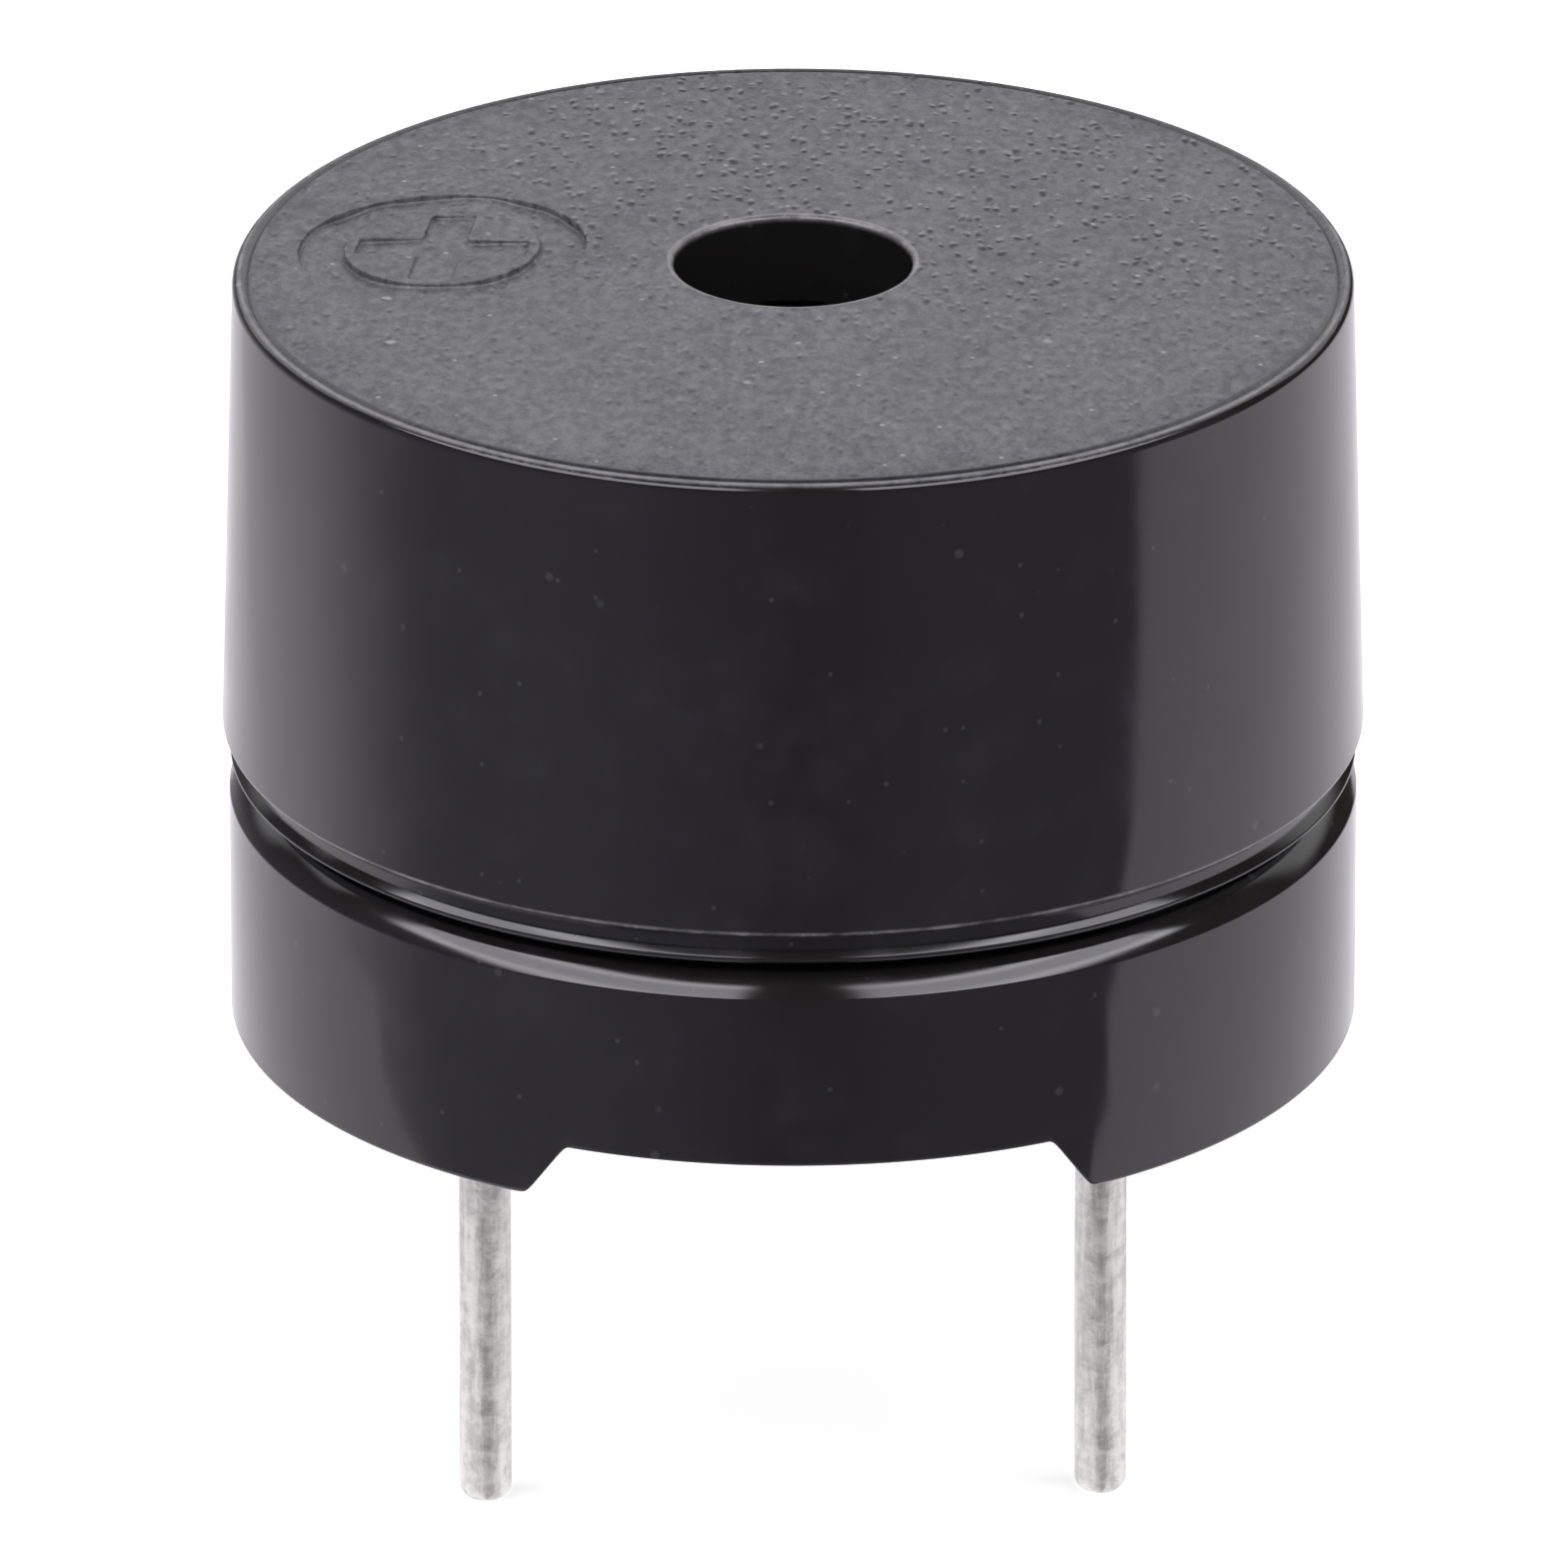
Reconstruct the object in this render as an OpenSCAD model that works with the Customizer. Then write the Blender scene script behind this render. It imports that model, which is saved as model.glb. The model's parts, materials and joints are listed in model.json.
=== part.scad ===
// Round board-mount magnetic buzzer, in millimetres.
// The origin is the middle of the plane that the feet stand on, with +Z up and the pins on the X axis.

/* [Upper case] */
// Largest diameter of the case, at the lip of the upper case
case_d = 12; // [11.6:0.1:13]
// Height of the case from the board it stands on to the rim of its top
case_h = 8.25; // [7.6:0.05:9.6]
// Rise of the top from its rim to its middle
crown_h = 0.17; // [0.05:0.01:0.3]
// Radius that the side of the upper case loses between its lip and its top
case_draft = 0.12; // [0.02:0.01:0.25]
// Radius of the edge round the top
top_edge_r = 0.15; // [0.05:0.01:0.3]
// Thickness of the side wall at the lip
side_wall = 0.69; // [0.62:0.01:0.85]
// Thickness of the top wall at its rim
top_wall = 0.8; // [0.5:0.05:1.2]
// Radius of the corner between the side wall and the top wall, inside
inner_corner_r = 0.3; // [0.1:0.05:0.6]
// Diameter of the sound hole
hole_d = 2.5; // [1.5:0.1:3]
// Radius of the edge of the sound hole
hole_edge_r = 0.06; // [0.02:0.01:0.15]
// Angle by which the upper case is turned against the pins
case_turn = -10; // [-45:1:45]

/* [Polarity mark] */
// Outer diameter of the sunken ring
mark_d = 3.02; // [2.6:0.02:3.2]
// Diameter of the island inside the ring
island_d = 2.06; // [1.96:0.02:2.3]
// Length of the sunken plus
plus_l = 1.8; // [1.2:0.1:1.9]
// Width of the arms of the plus
plus_w = 0.46; // [0.3:0.02:0.6]
// Depth of the ring and the plus
mark_depth = 0.1; // [0.05:0.01:0.2]
// Space between the ring and the edge of the top
mark_margin = 0.65; // [0.3:0.05:0.9]

/* [Seam groove] */
// Height of the side of the lower case, up to its lip
base_h = 2.5; // [2.3:0.05:3]
// Height of the groove between the two lips
groove_h = 0.77; // [0.6:0.01:1.1]
// Depth of the groove below the lip of the upper case
groove_depth = 0.3; // [0.2:0.01:0.34]
// Height of the lower case's sloping shoulder
shoulder_h = 0.25; // [0.15:0.01:0.3]
// Open height of the seam between the two cases
seam_gap = 0.12; // [0.05:0.01:0.15]
// Depth of the open seam
seam_depth = 0.2; // [0.1:0.01:0.24]
// Overhang of the upper case's lip
lip_step = 0.14; // [0.08:0.01:0.18]
// Height of the slope under the lip
lip_slope_h = 0.1; // [0.05:0.01:0.14]
// Radius of the edges along the groove
groove_edge_r = 0.05; // [0.02:0.01:0.06]

/* [Lower case] */
// Step from the lip of the upper case in to the side of the lower case
base_inset = 0.07; // [0:0.01:0.12]
// Radius that the side of the lower case loses down to its feet
base_draft = 0.01; // [0:0.01:0.12]
// Radius of the edge under the feet
foot_edge_r = 0.06; // [0.02:0.01:0.12]
// Height of the feet, which is the height of the notches between them
foot_h = 0.61; // [0.4:0.01:0.75]
// Width of the notches at their top
notch_w = 5.1; // [3:0.1:6]
// Extra width of the notches at each foot
notch_flare = 0.4; // [0.1:0.05:0.6]
// Radius of the upper corners of the notches
notch_corner_r = 0.15; // [0.05:0.01:0.25]
// Thickness of the rim round the pocket for the board
rim_wall = 0.72; // [0.6:0.02:0.9]
// Height of the ledge that the board is pushed against
ledge_z = 2; // [1.8:0.05:2.3]
// Thickness of the inner tube that carries the diaphragm
tube_wall = 0.58; // [0.5:0.02:0.7]
// Gap between the inner tube and the upper case
tube_clearance = 0.03; // [0.01:0.01:0.06]
// Height of the rim round the diaphragm
rebate_h = 0.25; // [0.15:0.05:0.5]
// Width of the ledge under the diaphragm
rebate_w = 0.3; // [0.2:0.02:0.36]

/* [Pins] */
// Distance of the pins' axes outside the bore of the magnet
pin_offset = 0.13; // [0.05:0.01:0.3]
// Diameter of the pins
pin_d = 0.55; // [0.45:0.01:0.62]
// Length of the pins below the feet
pin_l = 5.65; // [3:0.05:8]
// Radius of the edge of the pin tips
tip_r = 0.18; // [0.05:0.01:0.2]
// Diameter of the barrel that is pressed through the board
barrel_d = 0.96; // [0.94:0.02:1.1]
// Length of the barrel that stands out of the resin
barrel_stand = 0.2; // [0.1:0.05:0.4]
// Diameter of the pin heads on the board
head_d = 1.4; // [1.2:0.05:1.6]
// Thickness of the pin heads
head_h = 0.2; // [0.1:0.02:0.24]
// Radius of the edge of the pin heads
head_edge_r = 0.06; // [0.02:0.01:0.08]
// Diameter of the solder on the board
solder_d = 1.9; // [1.8:0.05:2.1]
// Height of the solder above the board
solder_h = 0.45; // [0.4:0.01:0.48]
// Diameter of the solder at its top
solder_top_d = 1.1; // [0.8:0.05:1.4]
// Radius of the edge round the top of the solder
solder_edge_r = 0.25; // [0.1:0.05:0.3]

/* [Board and resin] */
// Thickness of the circuit board
board_t = 0.8; // [0.6:0.05:1]
// Gap between the board and the rim
board_clearance = 0.05; // [0.02:0.01:0.1]
// Gap between the board and the barrels of the pins
barrel_clearance = 0.02; // [0.01:0.01:0.05]
// Thickness of the resin under the board
resin_t = 0.4; // [0.2:0.05:0.55]
// Height that the resin creeps along the rim
resin_creep_h = 0.15; // [0.05:0.01:0.2]
// Width of the resin's creeping edge
resin_creep_w = 0.35; // [0.2:0.05:0.6]
// Radius of the hollow of the creeping edge
resin_creep_r = 0.4; // [0.1:0.05:0.6]

/* [Magnet system] */
// Thickness of the yoke plate
yoke_t = 0.6; // [0.52:0.02:0.9]
// Gap between the yoke plate and the inner tube
yoke_clearance = 0.1; // [0.05:0.01:0.2]
// Gap between the yoke plate's slots and the solder
slot_clearance = 0.15; // [0.1:0.01:0.25]
// Diameter of the core
core_d = 2; // [1.6:0.1:2.6]
// Height of the core above the yoke plate
core_h = 2.15; // [2.05:0.05:3]
// Radius of the edge of the core
core_edge_r = 0.08; // [0.02:0.01:0.15]
// Diameter of the stub that is riveted into the yoke plate
stub_d = 1.4; // [1:0.1:1.5]
// Air gap between the core and the diaphragm
air_gap = 0.25; // [0.15:0.05:0.5]
// Share of the room between the core and the magnet's outside that the coil's winding takes
coil_share = 0.53; // [0.4:0.01:0.6]
// Height of the coil
coil_h = 1.9; // [1.2:0.05:2.1]
// Radius of the edges of the coil
coil_edge_r = 0.15; // [0.05:0.01:0.3]
// Gap between the coil and the core
coil_clearance = 0.03; // [0.02:0.01:0.08]
// Gap between the coil and the magnet
coil_gap = 0.5; // [0.4:0.02:0.7]
// Height of the ring magnet
magnet_h = 2; // [1.2:0.05:2.2]
// Gap between the magnet and the inner tube
magnet_clearance = 0.17; // [0.1:0.01:0.3]
// Radius of the edges of the magnet
magnet_edge_r = 0.1; // [0.03:0.01:0.2]
// Diameter of the wire between the coil and the pins
wire_d = 0.1; // [0.06:0.01:0.14]
// Radius of the bends of the wire
wire_bend_r = 0.1; // [0.08:0.01:0.12]
// Height above the yoke plate at which the wire leaves the coil
wire_rise = 0.3; // [0.22:0.02:0.6]
// Thickness of the diaphragm
diaphragm_t = 0.08; // [0.05:0.01:0.15]
// Gap between the diaphragm and its rim
diaphragm_clearance = 0.05; // [0.02:0.01:0.1]
// Diameter of the disc on the diaphragm
armature_d = 3.5; // [2.5:0.1:5]
// Thickness of the disc on the diaphragm
armature_t = 0.35; // [0.2:0.05:0.6]
// Radius of the edges of the disc
armature_edge_r = 0.05; // [0.02:0.01:0.09]

/* [Hidden] */
$fn = 96;
ARC_STEPS = 5;
CROWN_STEPS = 8;
OVERCUT = 0.5;
POSITIVE = -1;
NEGATIVE = 1;
MOULDED_BLACK = "#1d1d20";
RESIN_BLACK = "#101012";
TINNED = "#c9c8c4";
SOLDERED = "#b4b6ba";
STEEL = "#8d9095";
FERRITE = "#3a3b3f";
COPPER = "#b5662e";
BOARD_GREEN = "#2f5d3a";

// Radii of the two cases, from the outside in
case_r = case_d / 2;
top_r = case_r - case_draft;
bore_r = case_r - side_wall;
base_r = case_r - base_inset;
groove_r = case_r - groove_depth;
seat_r = groove_r - seam_depth;
pocket_r = base_r - rim_wall;
tube_r = bore_r - tube_clearance;
tube_bore_r = tube_r - tube_wall;
rebate_r = tube_bore_r + rebate_w;
hole_r = hole_d / 2;

// Radius and centre height of the sphere that crowns the top
crown_r = (top_r * top_r + crown_h * crown_h) / (2 * crown_h);
crown_z = case_h + crown_h - crown_r;

// Heights of the seam groove
shoulder_z = base_h + shoulder_h;
seam_z = shoulder_z + seam_gap;
lip_z = base_h + groove_h;
ceiling_z = case_h - top_wall;

// Heights of what is stacked inside, from the resin up
board_z = ledge_z - board_t;
resin_z = board_z - resin_t;
barrel_z = resin_z - barrel_stand;
head_z = ledge_z + head_h;
yoke_z = ledge_z + yoke_t;
diaphragm_z = yoke_z + core_h + air_gap;
armature_z = diaphragm_z + diaphragm_t;
tube_z = diaphragm_z + rebate_h;

// Radii of the magnet system
yoke_r = tube_bore_r - yoke_clearance;
core_r = core_d / 2;
magnet_r = tube_bore_r - magnet_clearance;
coil_bore_r = core_r + coil_clearance;
coil_r = coil_bore_r + coil_share * (magnet_r - coil_bore_r - coil_gap);
magnet_bore_r = coil_r + coil_gap;
diaphragm_r = rebate_r - diaphragm_clearance;
armature_r = armature_d / 2;

// Places of the pins, which follow the magnet, and of the wires
pin_pitch = 2 * (magnet_bore_r + pin_offset);
pin_x = pin_pitch / 2;
pin_r = pin_d / 2;
barrel_r = barrel_d / 2;
slot_r = solder_d / 2 + slot_clearance;
wire_r = wire_d / 2;
wire_drop_x = coil_r + coil_gap / 2;
wire_top_z = yoke_z + wire_rise;
wire_low_z = head_z + wire_r;

// Height of the crowned top at a distance from the axis
function crown_at(r) = crown_z + sqrt(crown_r * crown_r - r * r);

// The points of a corner, rounded by the radius that its third number gives
function corner(before, here, after) =
    let (
        point = [here[0], here[1]],
        radius = is_undef(here[2]) ? 0 : here[2],
        to_before = [before[0], before[1]] - point,
        to_after = [after[0], after[1]] - point,
        u = to_before / norm(to_before),
        v = to_after / norm(to_after),
        half = acos(u * v) / 2,
        centre = point + (u + v) / norm(u + v) * radius / sin(half),
        first = point + u * radius / tan(half) - centre,
        start = atan2(first[1], first[0]),
        turn = u[0] * v[1] - u[1] * v[0] > 0 ? -1 : 1,
        step = turn * (180 - 2 * half) / ARC_STEPS
    )
    radius == 0 ? [point] :
    [for (i = [0:ARC_STEPS]) let (angle = start + step * i) centre + radius * [cos(angle), sin(angle)]];

// An outline of corners, each a point or a point with the radius that rounds it
function rounded(corners) =
    let (n = len(corners))
    [for (i = [0:n - 1]) each corner(corners[(i + n - 1) % n], corners[i], corners[(i + 1) % n])];

// A solid turned round the Z axis from an outline of corners
module turned(corners) {
    rotate_extrude() polygon(rounded(corners));
}

// What is below it, set at the pin on one side
module at_pin(side) {
    translate([side * pin_x, 0, 0]) children();
}

// The sunken ring and plus of the polarity mark, cut square to the crowned top
module polarity_mark_cut() {
    place_r = top_r - mark_margin - mark_d / 2;
    translate([0, 0, crown_z])
        rotate([0, asin(place_r / crown_r), 180 + case_turn])
            translate([0, 0, crown_r - mark_depth])
                linear_extrude(mark_depth + OVERCUT) {
                    difference() {
                        circle(d = mark_d);
                        circle(d = island_d);
                    }
                    square([plus_l, plus_w], center = true);
                    square([plus_w, plus_l], center = true);
                }
}

module upper_case() {
    crown = [for (i = [1:CROWN_STEPS - 1])
        let (r = hole_r + (top_r - hole_r) * i / CROWN_STEPS) [r, crown_at(r)]];
    color(MOULDED_BLACK)
        difference() {
            turned(concat(
                [[hole_r, ceiling_z], [hole_r, crown_at(hole_r), hole_edge_r]],
                crown,
                [
                    [top_r, case_h, top_edge_r],
                    [case_r, lip_z, groove_edge_r],
                    [case_r - lip_step, lip_z - lip_slope_h],
                    [groove_r, seam_z, groove_edge_r],
                    [bore_r, seam_z],
                    [bore_r, ceiling_z, inner_corner_r]
                ]));
            polarity_mark_cut();
        }
}

// The notch that runs under the lower case from front to back, between the feet
module notch_cut() {
    top_x = notch_w / 2;
    foot_x = top_x + notch_flare;
    rotate([90, 0, 0])
        linear_extrude(2 * case_d, center = true)
            polygon(rounded([
                [-foot_x, -OVERCUT], [foot_x, -OVERCUT], [foot_x, 0],
                [top_x, foot_h, notch_corner_r], [-top_x, foot_h, notch_corner_r], [-foot_x, 0]
            ]));
}

module lower_case() {
    color(MOULDED_BLACK)
        difference() {
            turned([
                [pocket_r, 0], [base_r - base_draft, 0, foot_edge_r],
                [base_r, base_h, groove_edge_r], [groove_r, shoulder_z, groove_edge_r],
                [seat_r, shoulder_z], [seat_r, seam_z], [tube_r, seam_z],
                [tube_r, tube_z], [rebate_r, tube_z], [rebate_r, diaphragm_z],
                [tube_bore_r, diaphragm_z], [tube_bore_r, ledge_z], [pocket_r, ledge_z]
            ]);
            notch_cut();
        }
}

module diaphragm() {
    color(STEEL) translate([0, 0, diaphragm_z]) cylinder(r = diaphragm_r, h = diaphragm_t);
}

module armature_disc() {
    top_z = armature_z + armature_t;
    color(STEEL)
        turned([
            [0, armature_z], [armature_r, armature_z, armature_edge_r],
            [armature_r, top_z, armature_edge_r], [0, top_z]
        ]);
}

module ring_magnet() {
    top_z = yoke_z + magnet_h;
    color(FERRITE)
        turned([
            [magnet_bore_r, yoke_z, magnet_edge_r], [magnet_r, yoke_z, magnet_edge_r],
            [magnet_r, top_z, magnet_edge_r], [magnet_bore_r, top_z, magnet_edge_r]
        ]);
}

module pole_core() {
    top_z = yoke_z + core_h;
    color(STEEL)
        turned([
            [0, ledge_z], [stub_d / 2, ledge_z], [stub_d / 2, yoke_z],
            [core_r, yoke_z], [core_r, top_z, core_edge_r], [0, top_z]
        ]);
}

module coil_winding() {
    top_z = yoke_z + coil_h;
    color(COPPER)
        turned([
            [coil_bore_r, yoke_z], [coil_r, yoke_z, coil_edge_r],
            [coil_r, top_z, coil_edge_r], [coil_bore_r, top_z]
        ]);
}

// A quarter bend of wire in the XZ plane, from the angle given
module wire_bend(start) {
    rotate([90, 0, 0])
        rotate_extrude(angle = 90, start = start)
            translate([wire_bend_r, 0]) circle(wire_r);
}

// The wire from the coil's side, down between coil and magnet, and out over the head of a pin
module wire_tail(side) {
    drop_h = wire_top_z - wire_low_z - 2 * wire_bend_r;
    color(COPPER)
        rotate([0, 0, side == NEGATIVE ? 0 : 180]) {
            translate([coil_r, 0, wire_top_z])
                rotate([0, 90, 0]) cylinder(r = wire_r, h = wire_drop_x - wire_bend_r - coil_r);
            translate([wire_drop_x - wire_bend_r, 0, wire_top_z - wire_bend_r]) wire_bend(0);
            translate([wire_drop_x, 0, wire_low_z + wire_bend_r]) cylinder(r = wire_r, h = drop_h);
            translate([wire_drop_x + wire_bend_r, 0, wire_low_z + wire_bend_r]) wire_bend(180);
            translate([wire_drop_x + wire_bend_r, 0, wire_low_z])
                rotate([0, 90, 0]) cylinder(r = wire_r, h = pin_x - wire_drop_x - wire_bend_r);
        }
}

module positive_tail() { wire_tail(POSITIVE); }
module negative_tail() { wire_tail(NEGATIVE); }

module yoke_plate() {
    color(STEEL)
        difference() {
            translate([0, 0, ledge_z]) cylinder(r = yoke_r, h = yoke_t);
            translate([0, 0, ledge_z - OVERCUT]) cylinder(d = stub_d, h = yoke_t + 2 * OVERCUT);
            for (side = [POSITIVE, NEGATIVE])
                at_pin(side)
                    translate([0, 0, ledge_z - OVERCUT])
                        linear_extrude(yoke_t + 2 * OVERCUT) {
                            circle(slot_r);
                            translate([side * case_r / 2, 0]) square([case_r, 2 * slot_r], center = true);
                        }
        }
}

module circuit_board() {
    color(BOARD_GREEN)
        difference() {
            translate([0, 0, board_z]) cylinder(r = pocket_r - board_clearance, h = board_t);
            for (side = [POSITIVE, NEGATIVE])
                at_pin(side)
                    translate([0, 0, board_z - OVERCUT])
                        cylinder(r = barrel_r + barrel_clearance, h = board_t + 2 * OVERCUT);
        }
}

// A terminal: a thin pin below, a barrel through the board and a flat head on the board
module pin(side) {
    color(TINNED)
        at_pin(side)
            turned([
                [0, -pin_l], [pin_r, -pin_l, tip_r], [pin_r, barrel_z], [barrel_r, barrel_z],
                [barrel_r, ledge_z], [head_d / 2, ledge_z], [head_d / 2, head_z, head_edge_r], [0, head_z]
            ]);
}

module positive_pin() { pin(POSITIVE); }
module negative_pin() { pin(NEGATIVE); }

// Solder over the head of a pin and the end of its wire
module solder(side) {
    top_z = ledge_z + solder_h;
    color(SOLDERED)
        difference() {
            at_pin(side)
                turned([
                    [0, ledge_z], [solder_d / 2, ledge_z],
                    [solder_top_d / 2, top_z, solder_edge_r], [0, top_z]
                ]);
            pin(side);
            wire_tail(side);
        }
}

module positive_solder() { solder(POSITIVE); }
module negative_solder() { solder(NEGATIVE); }

module sealing_resin() {
    color(RESIN_BLACK)
        difference() {
            turned([
                [0, resin_z], [pocket_r - resin_creep_w, resin_z, resin_creep_r],
                [pocket_r, resin_z - resin_creep_h], [pocket_r, board_z], [0, board_z]
            ]);
            for (side = [POSITIVE, NEGATIVE])
                at_pin(side)
                    translate([0, 0, resin_z - OVERCUT]) cylinder(r = barrel_r, h = resin_t + 2 * OVERCUT);
        }
}

upper_case();
lower_case();
diaphragm();
armature_disc();
ring_magnet();
pole_core();
coil_winding();
positive_tail();
negative_tail();
yoke_plate();
circuit_board();
positive_pin();
negative_pin();
positive_solder();
negative_solder();
sealing_resin();
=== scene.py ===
"""Looks of a round board-mount magnetic buzzer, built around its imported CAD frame."""

from __future__ import annotations

import json
import logging
import math
from dataclasses import dataclass
from enum import Enum
from typing import Callable, Sequence, Union

import bmesh
import bpy
from mathutils import Matrix, Vector, noise

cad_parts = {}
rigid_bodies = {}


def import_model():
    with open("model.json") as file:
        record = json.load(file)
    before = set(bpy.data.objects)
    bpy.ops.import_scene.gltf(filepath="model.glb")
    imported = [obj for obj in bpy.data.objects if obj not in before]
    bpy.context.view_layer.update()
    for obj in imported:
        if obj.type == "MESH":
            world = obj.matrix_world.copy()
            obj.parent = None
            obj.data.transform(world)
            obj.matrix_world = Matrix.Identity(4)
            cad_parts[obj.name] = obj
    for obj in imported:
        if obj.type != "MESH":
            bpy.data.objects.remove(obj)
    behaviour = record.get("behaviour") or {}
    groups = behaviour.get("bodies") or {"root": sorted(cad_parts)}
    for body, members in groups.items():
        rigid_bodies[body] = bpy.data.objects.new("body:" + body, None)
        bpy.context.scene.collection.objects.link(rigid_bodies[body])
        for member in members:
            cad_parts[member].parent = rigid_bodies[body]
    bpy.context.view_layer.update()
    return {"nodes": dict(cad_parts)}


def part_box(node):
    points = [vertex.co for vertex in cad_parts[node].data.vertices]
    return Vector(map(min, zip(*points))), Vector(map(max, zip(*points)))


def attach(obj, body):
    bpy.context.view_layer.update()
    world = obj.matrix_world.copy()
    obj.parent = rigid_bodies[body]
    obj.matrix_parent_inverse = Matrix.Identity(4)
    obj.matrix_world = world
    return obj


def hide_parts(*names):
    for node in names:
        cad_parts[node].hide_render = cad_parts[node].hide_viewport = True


MM = 0.001
ROOT = "root"
SMOOTH_ANGLE = 35.0
MERGE_GAP = 1e-5
AT_AXIS = 1e-9
FILLET_STEPS = 8
LOG = logging.getLogger("buzzer")

Colour = tuple[float, float, float]
Point = tuple[float, float]
Socket = bpy.types.NodeSocket
Value = Union[Socket, float, Sequence[float]]
COOL: Colour = (0.92, 0.92, 1.12)
PALE: Colour = (1.0, 0.975, 1.04)
NOISE_RANGE: Point = (0.3, 0.7)


class Side(Enum):
    """The two terminals, by the side of the case that each stands on."""

    POSITIVE = -1
    NEGATIVE = 1

    @property
    def word(self) -> str:
        """The side's name as the CAD nodes spell it."""
        return self.name.lower()


@dataclass(frozen=True)
class Corner:
    """A corner of an outline in millimetres, with the radius that rounds it."""

    r: float
    z: float
    fillet: float = 0.0


def round_outline(corners: Sequence[Corner], steps: int = FILLET_STEPS) -> list[Point]:
    """Rounds the corners of a closed outline.

    Args:
        corners: The outline's corners in order.
        steps: How many pieces each rounded corner is made of.

    Returns:
        The outline's points.
    """
    points: list[Point] = []
    for index, here in enumerate(corners):
        point = Vector((here.r, here.z))
        if here.fillet == 0.0:
            points.append((here.r, here.z))
            continue
        before = corners[index - 1]
        after = corners[(index + 1) % len(corners)]
        u = (Vector((before.r, before.z)) - point).normalized()
        v = (Vector((after.r, after.z)) - point).normalized()
        half = u.angle(v) / 2
        centre = point + (u + v).normalized() * (here.fillet / math.sin(half))
        first = point + u * (here.fillet / math.tan(half)) - centre
        turn = -1.0 if u.x * v.y - u.y * v.x > 0 else 1.0
        start = math.atan2(first.y, first.x)
        for step in range(steps + 1):
            angle = start + turn * (math.pi - 2 * half) * step / steps
            x = centre.x + here.fillet * math.cos(angle)
            points.append((x, centre.y + here.fillet * math.sin(angle)))
    return points


def even_angles(count: int) -> list[float]:
    """Gives that many angles in radians, evenly round a full turn."""
    return [math.tau * index / count for index in range(count)]


def new_object(name: str, mesh: bmesh.types.BMesh) -> bpy.types.Object:
    """Turns a bmesh in millimetres into a smooth-shaded object in the scene.

    Args:
        name: The object's name.
        mesh: The bmesh, which is freed.

    Returns:
        The new object.
    """
    bmesh.ops.remove_doubles(mesh, verts=mesh.verts, dist=MERGE_GAP)
    bmesh.ops.recalc_face_normals(mesh, faces=mesh.faces)
    bmesh.ops.scale(mesh, vec=(MM, MM, MM), verts=mesh.verts)
    data = bpy.data.meshes.new(name)
    mesh.to_mesh(data)
    mesh.free()
    thing = bpy.data.objects.new(name, data)
    bpy.context.scene.collection.objects.link(thing)
    shade(thing)
    return thing


def shade(thing: bpy.types.Object, smooth_angle: float = SMOOTH_ANGLE) -> None:
    """Shades an object smooth, apart from edges that bend by more than the angle in degrees."""
    thing.data.shade_smooth()
    thing.data.set_sharp_from_angle(angle=math.radians(smooth_angle))


def turn_outline(
    outline: Sequence[Point],
    angles: Sequence[float],
    lift: Callable[[float, float, float], float] | None = None,
) -> bmesh.types.BMesh:
    """Turns a closed outline round the Z axis.

    Args:
        outline: Points (radius, height), where two neighbours at radius zero close a pole.
        angles: The angles of the copies, in radians and in order.
        lift: Gives a rise from a point's x, y and own height, or None.

    Returns:
        The turned solid as a bmesh in millimetres.
    """
    mesh = bmesh.new()
    rings: list[list[bmesh.types.BMVert]] = []
    for r, z in outline:
        if r < AT_AXIS:
            rings.append([mesh.verts.new((0.0, 0.0, z))] * len(angles))
            continue
        ring = []
        for angle in angles:
            x = r * math.cos(angle)
            y = r * math.sin(angle)
            rise = lift(x, y, z) if lift else 0.0
            ring.append(mesh.verts.new((x, y, z + rise)))
        rings.append(ring)
    for index, ring in enumerate(rings):
        after = rings[(index + 1) % len(rings)]
        for turn in range(len(angles)):
            loop = [ring[turn - 1], ring[turn], after[turn], after[turn - 1]]
            corners = list(dict.fromkeys(loop))
            if len(corners) > 2:
                mesh.faces.new(corners)
    return mesh


def carve(body: bpy.types.Object, cutter: bpy.types.Object) -> None:
    """Cuts one solid out of another and deletes the cutter.

    Args:
        body: The object that is cut.
        cutter: The object that is taken away.
    """
    modifier = body.modifiers.new("carve", "BOOLEAN")
    modifier.operation = "DIFFERENCE"
    modifier.solver = "EXACT"
    modifier.object = cutter
    graph = bpy.context.evaluated_depsgraph_get()
    carved = bpy.data.meshes.new_from_object(body.evaluated_get(graph))
    body.modifiers.remove(modifier)
    body.data = carved
    bpy.data.objects.remove(cutter)
    shade(body)


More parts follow.
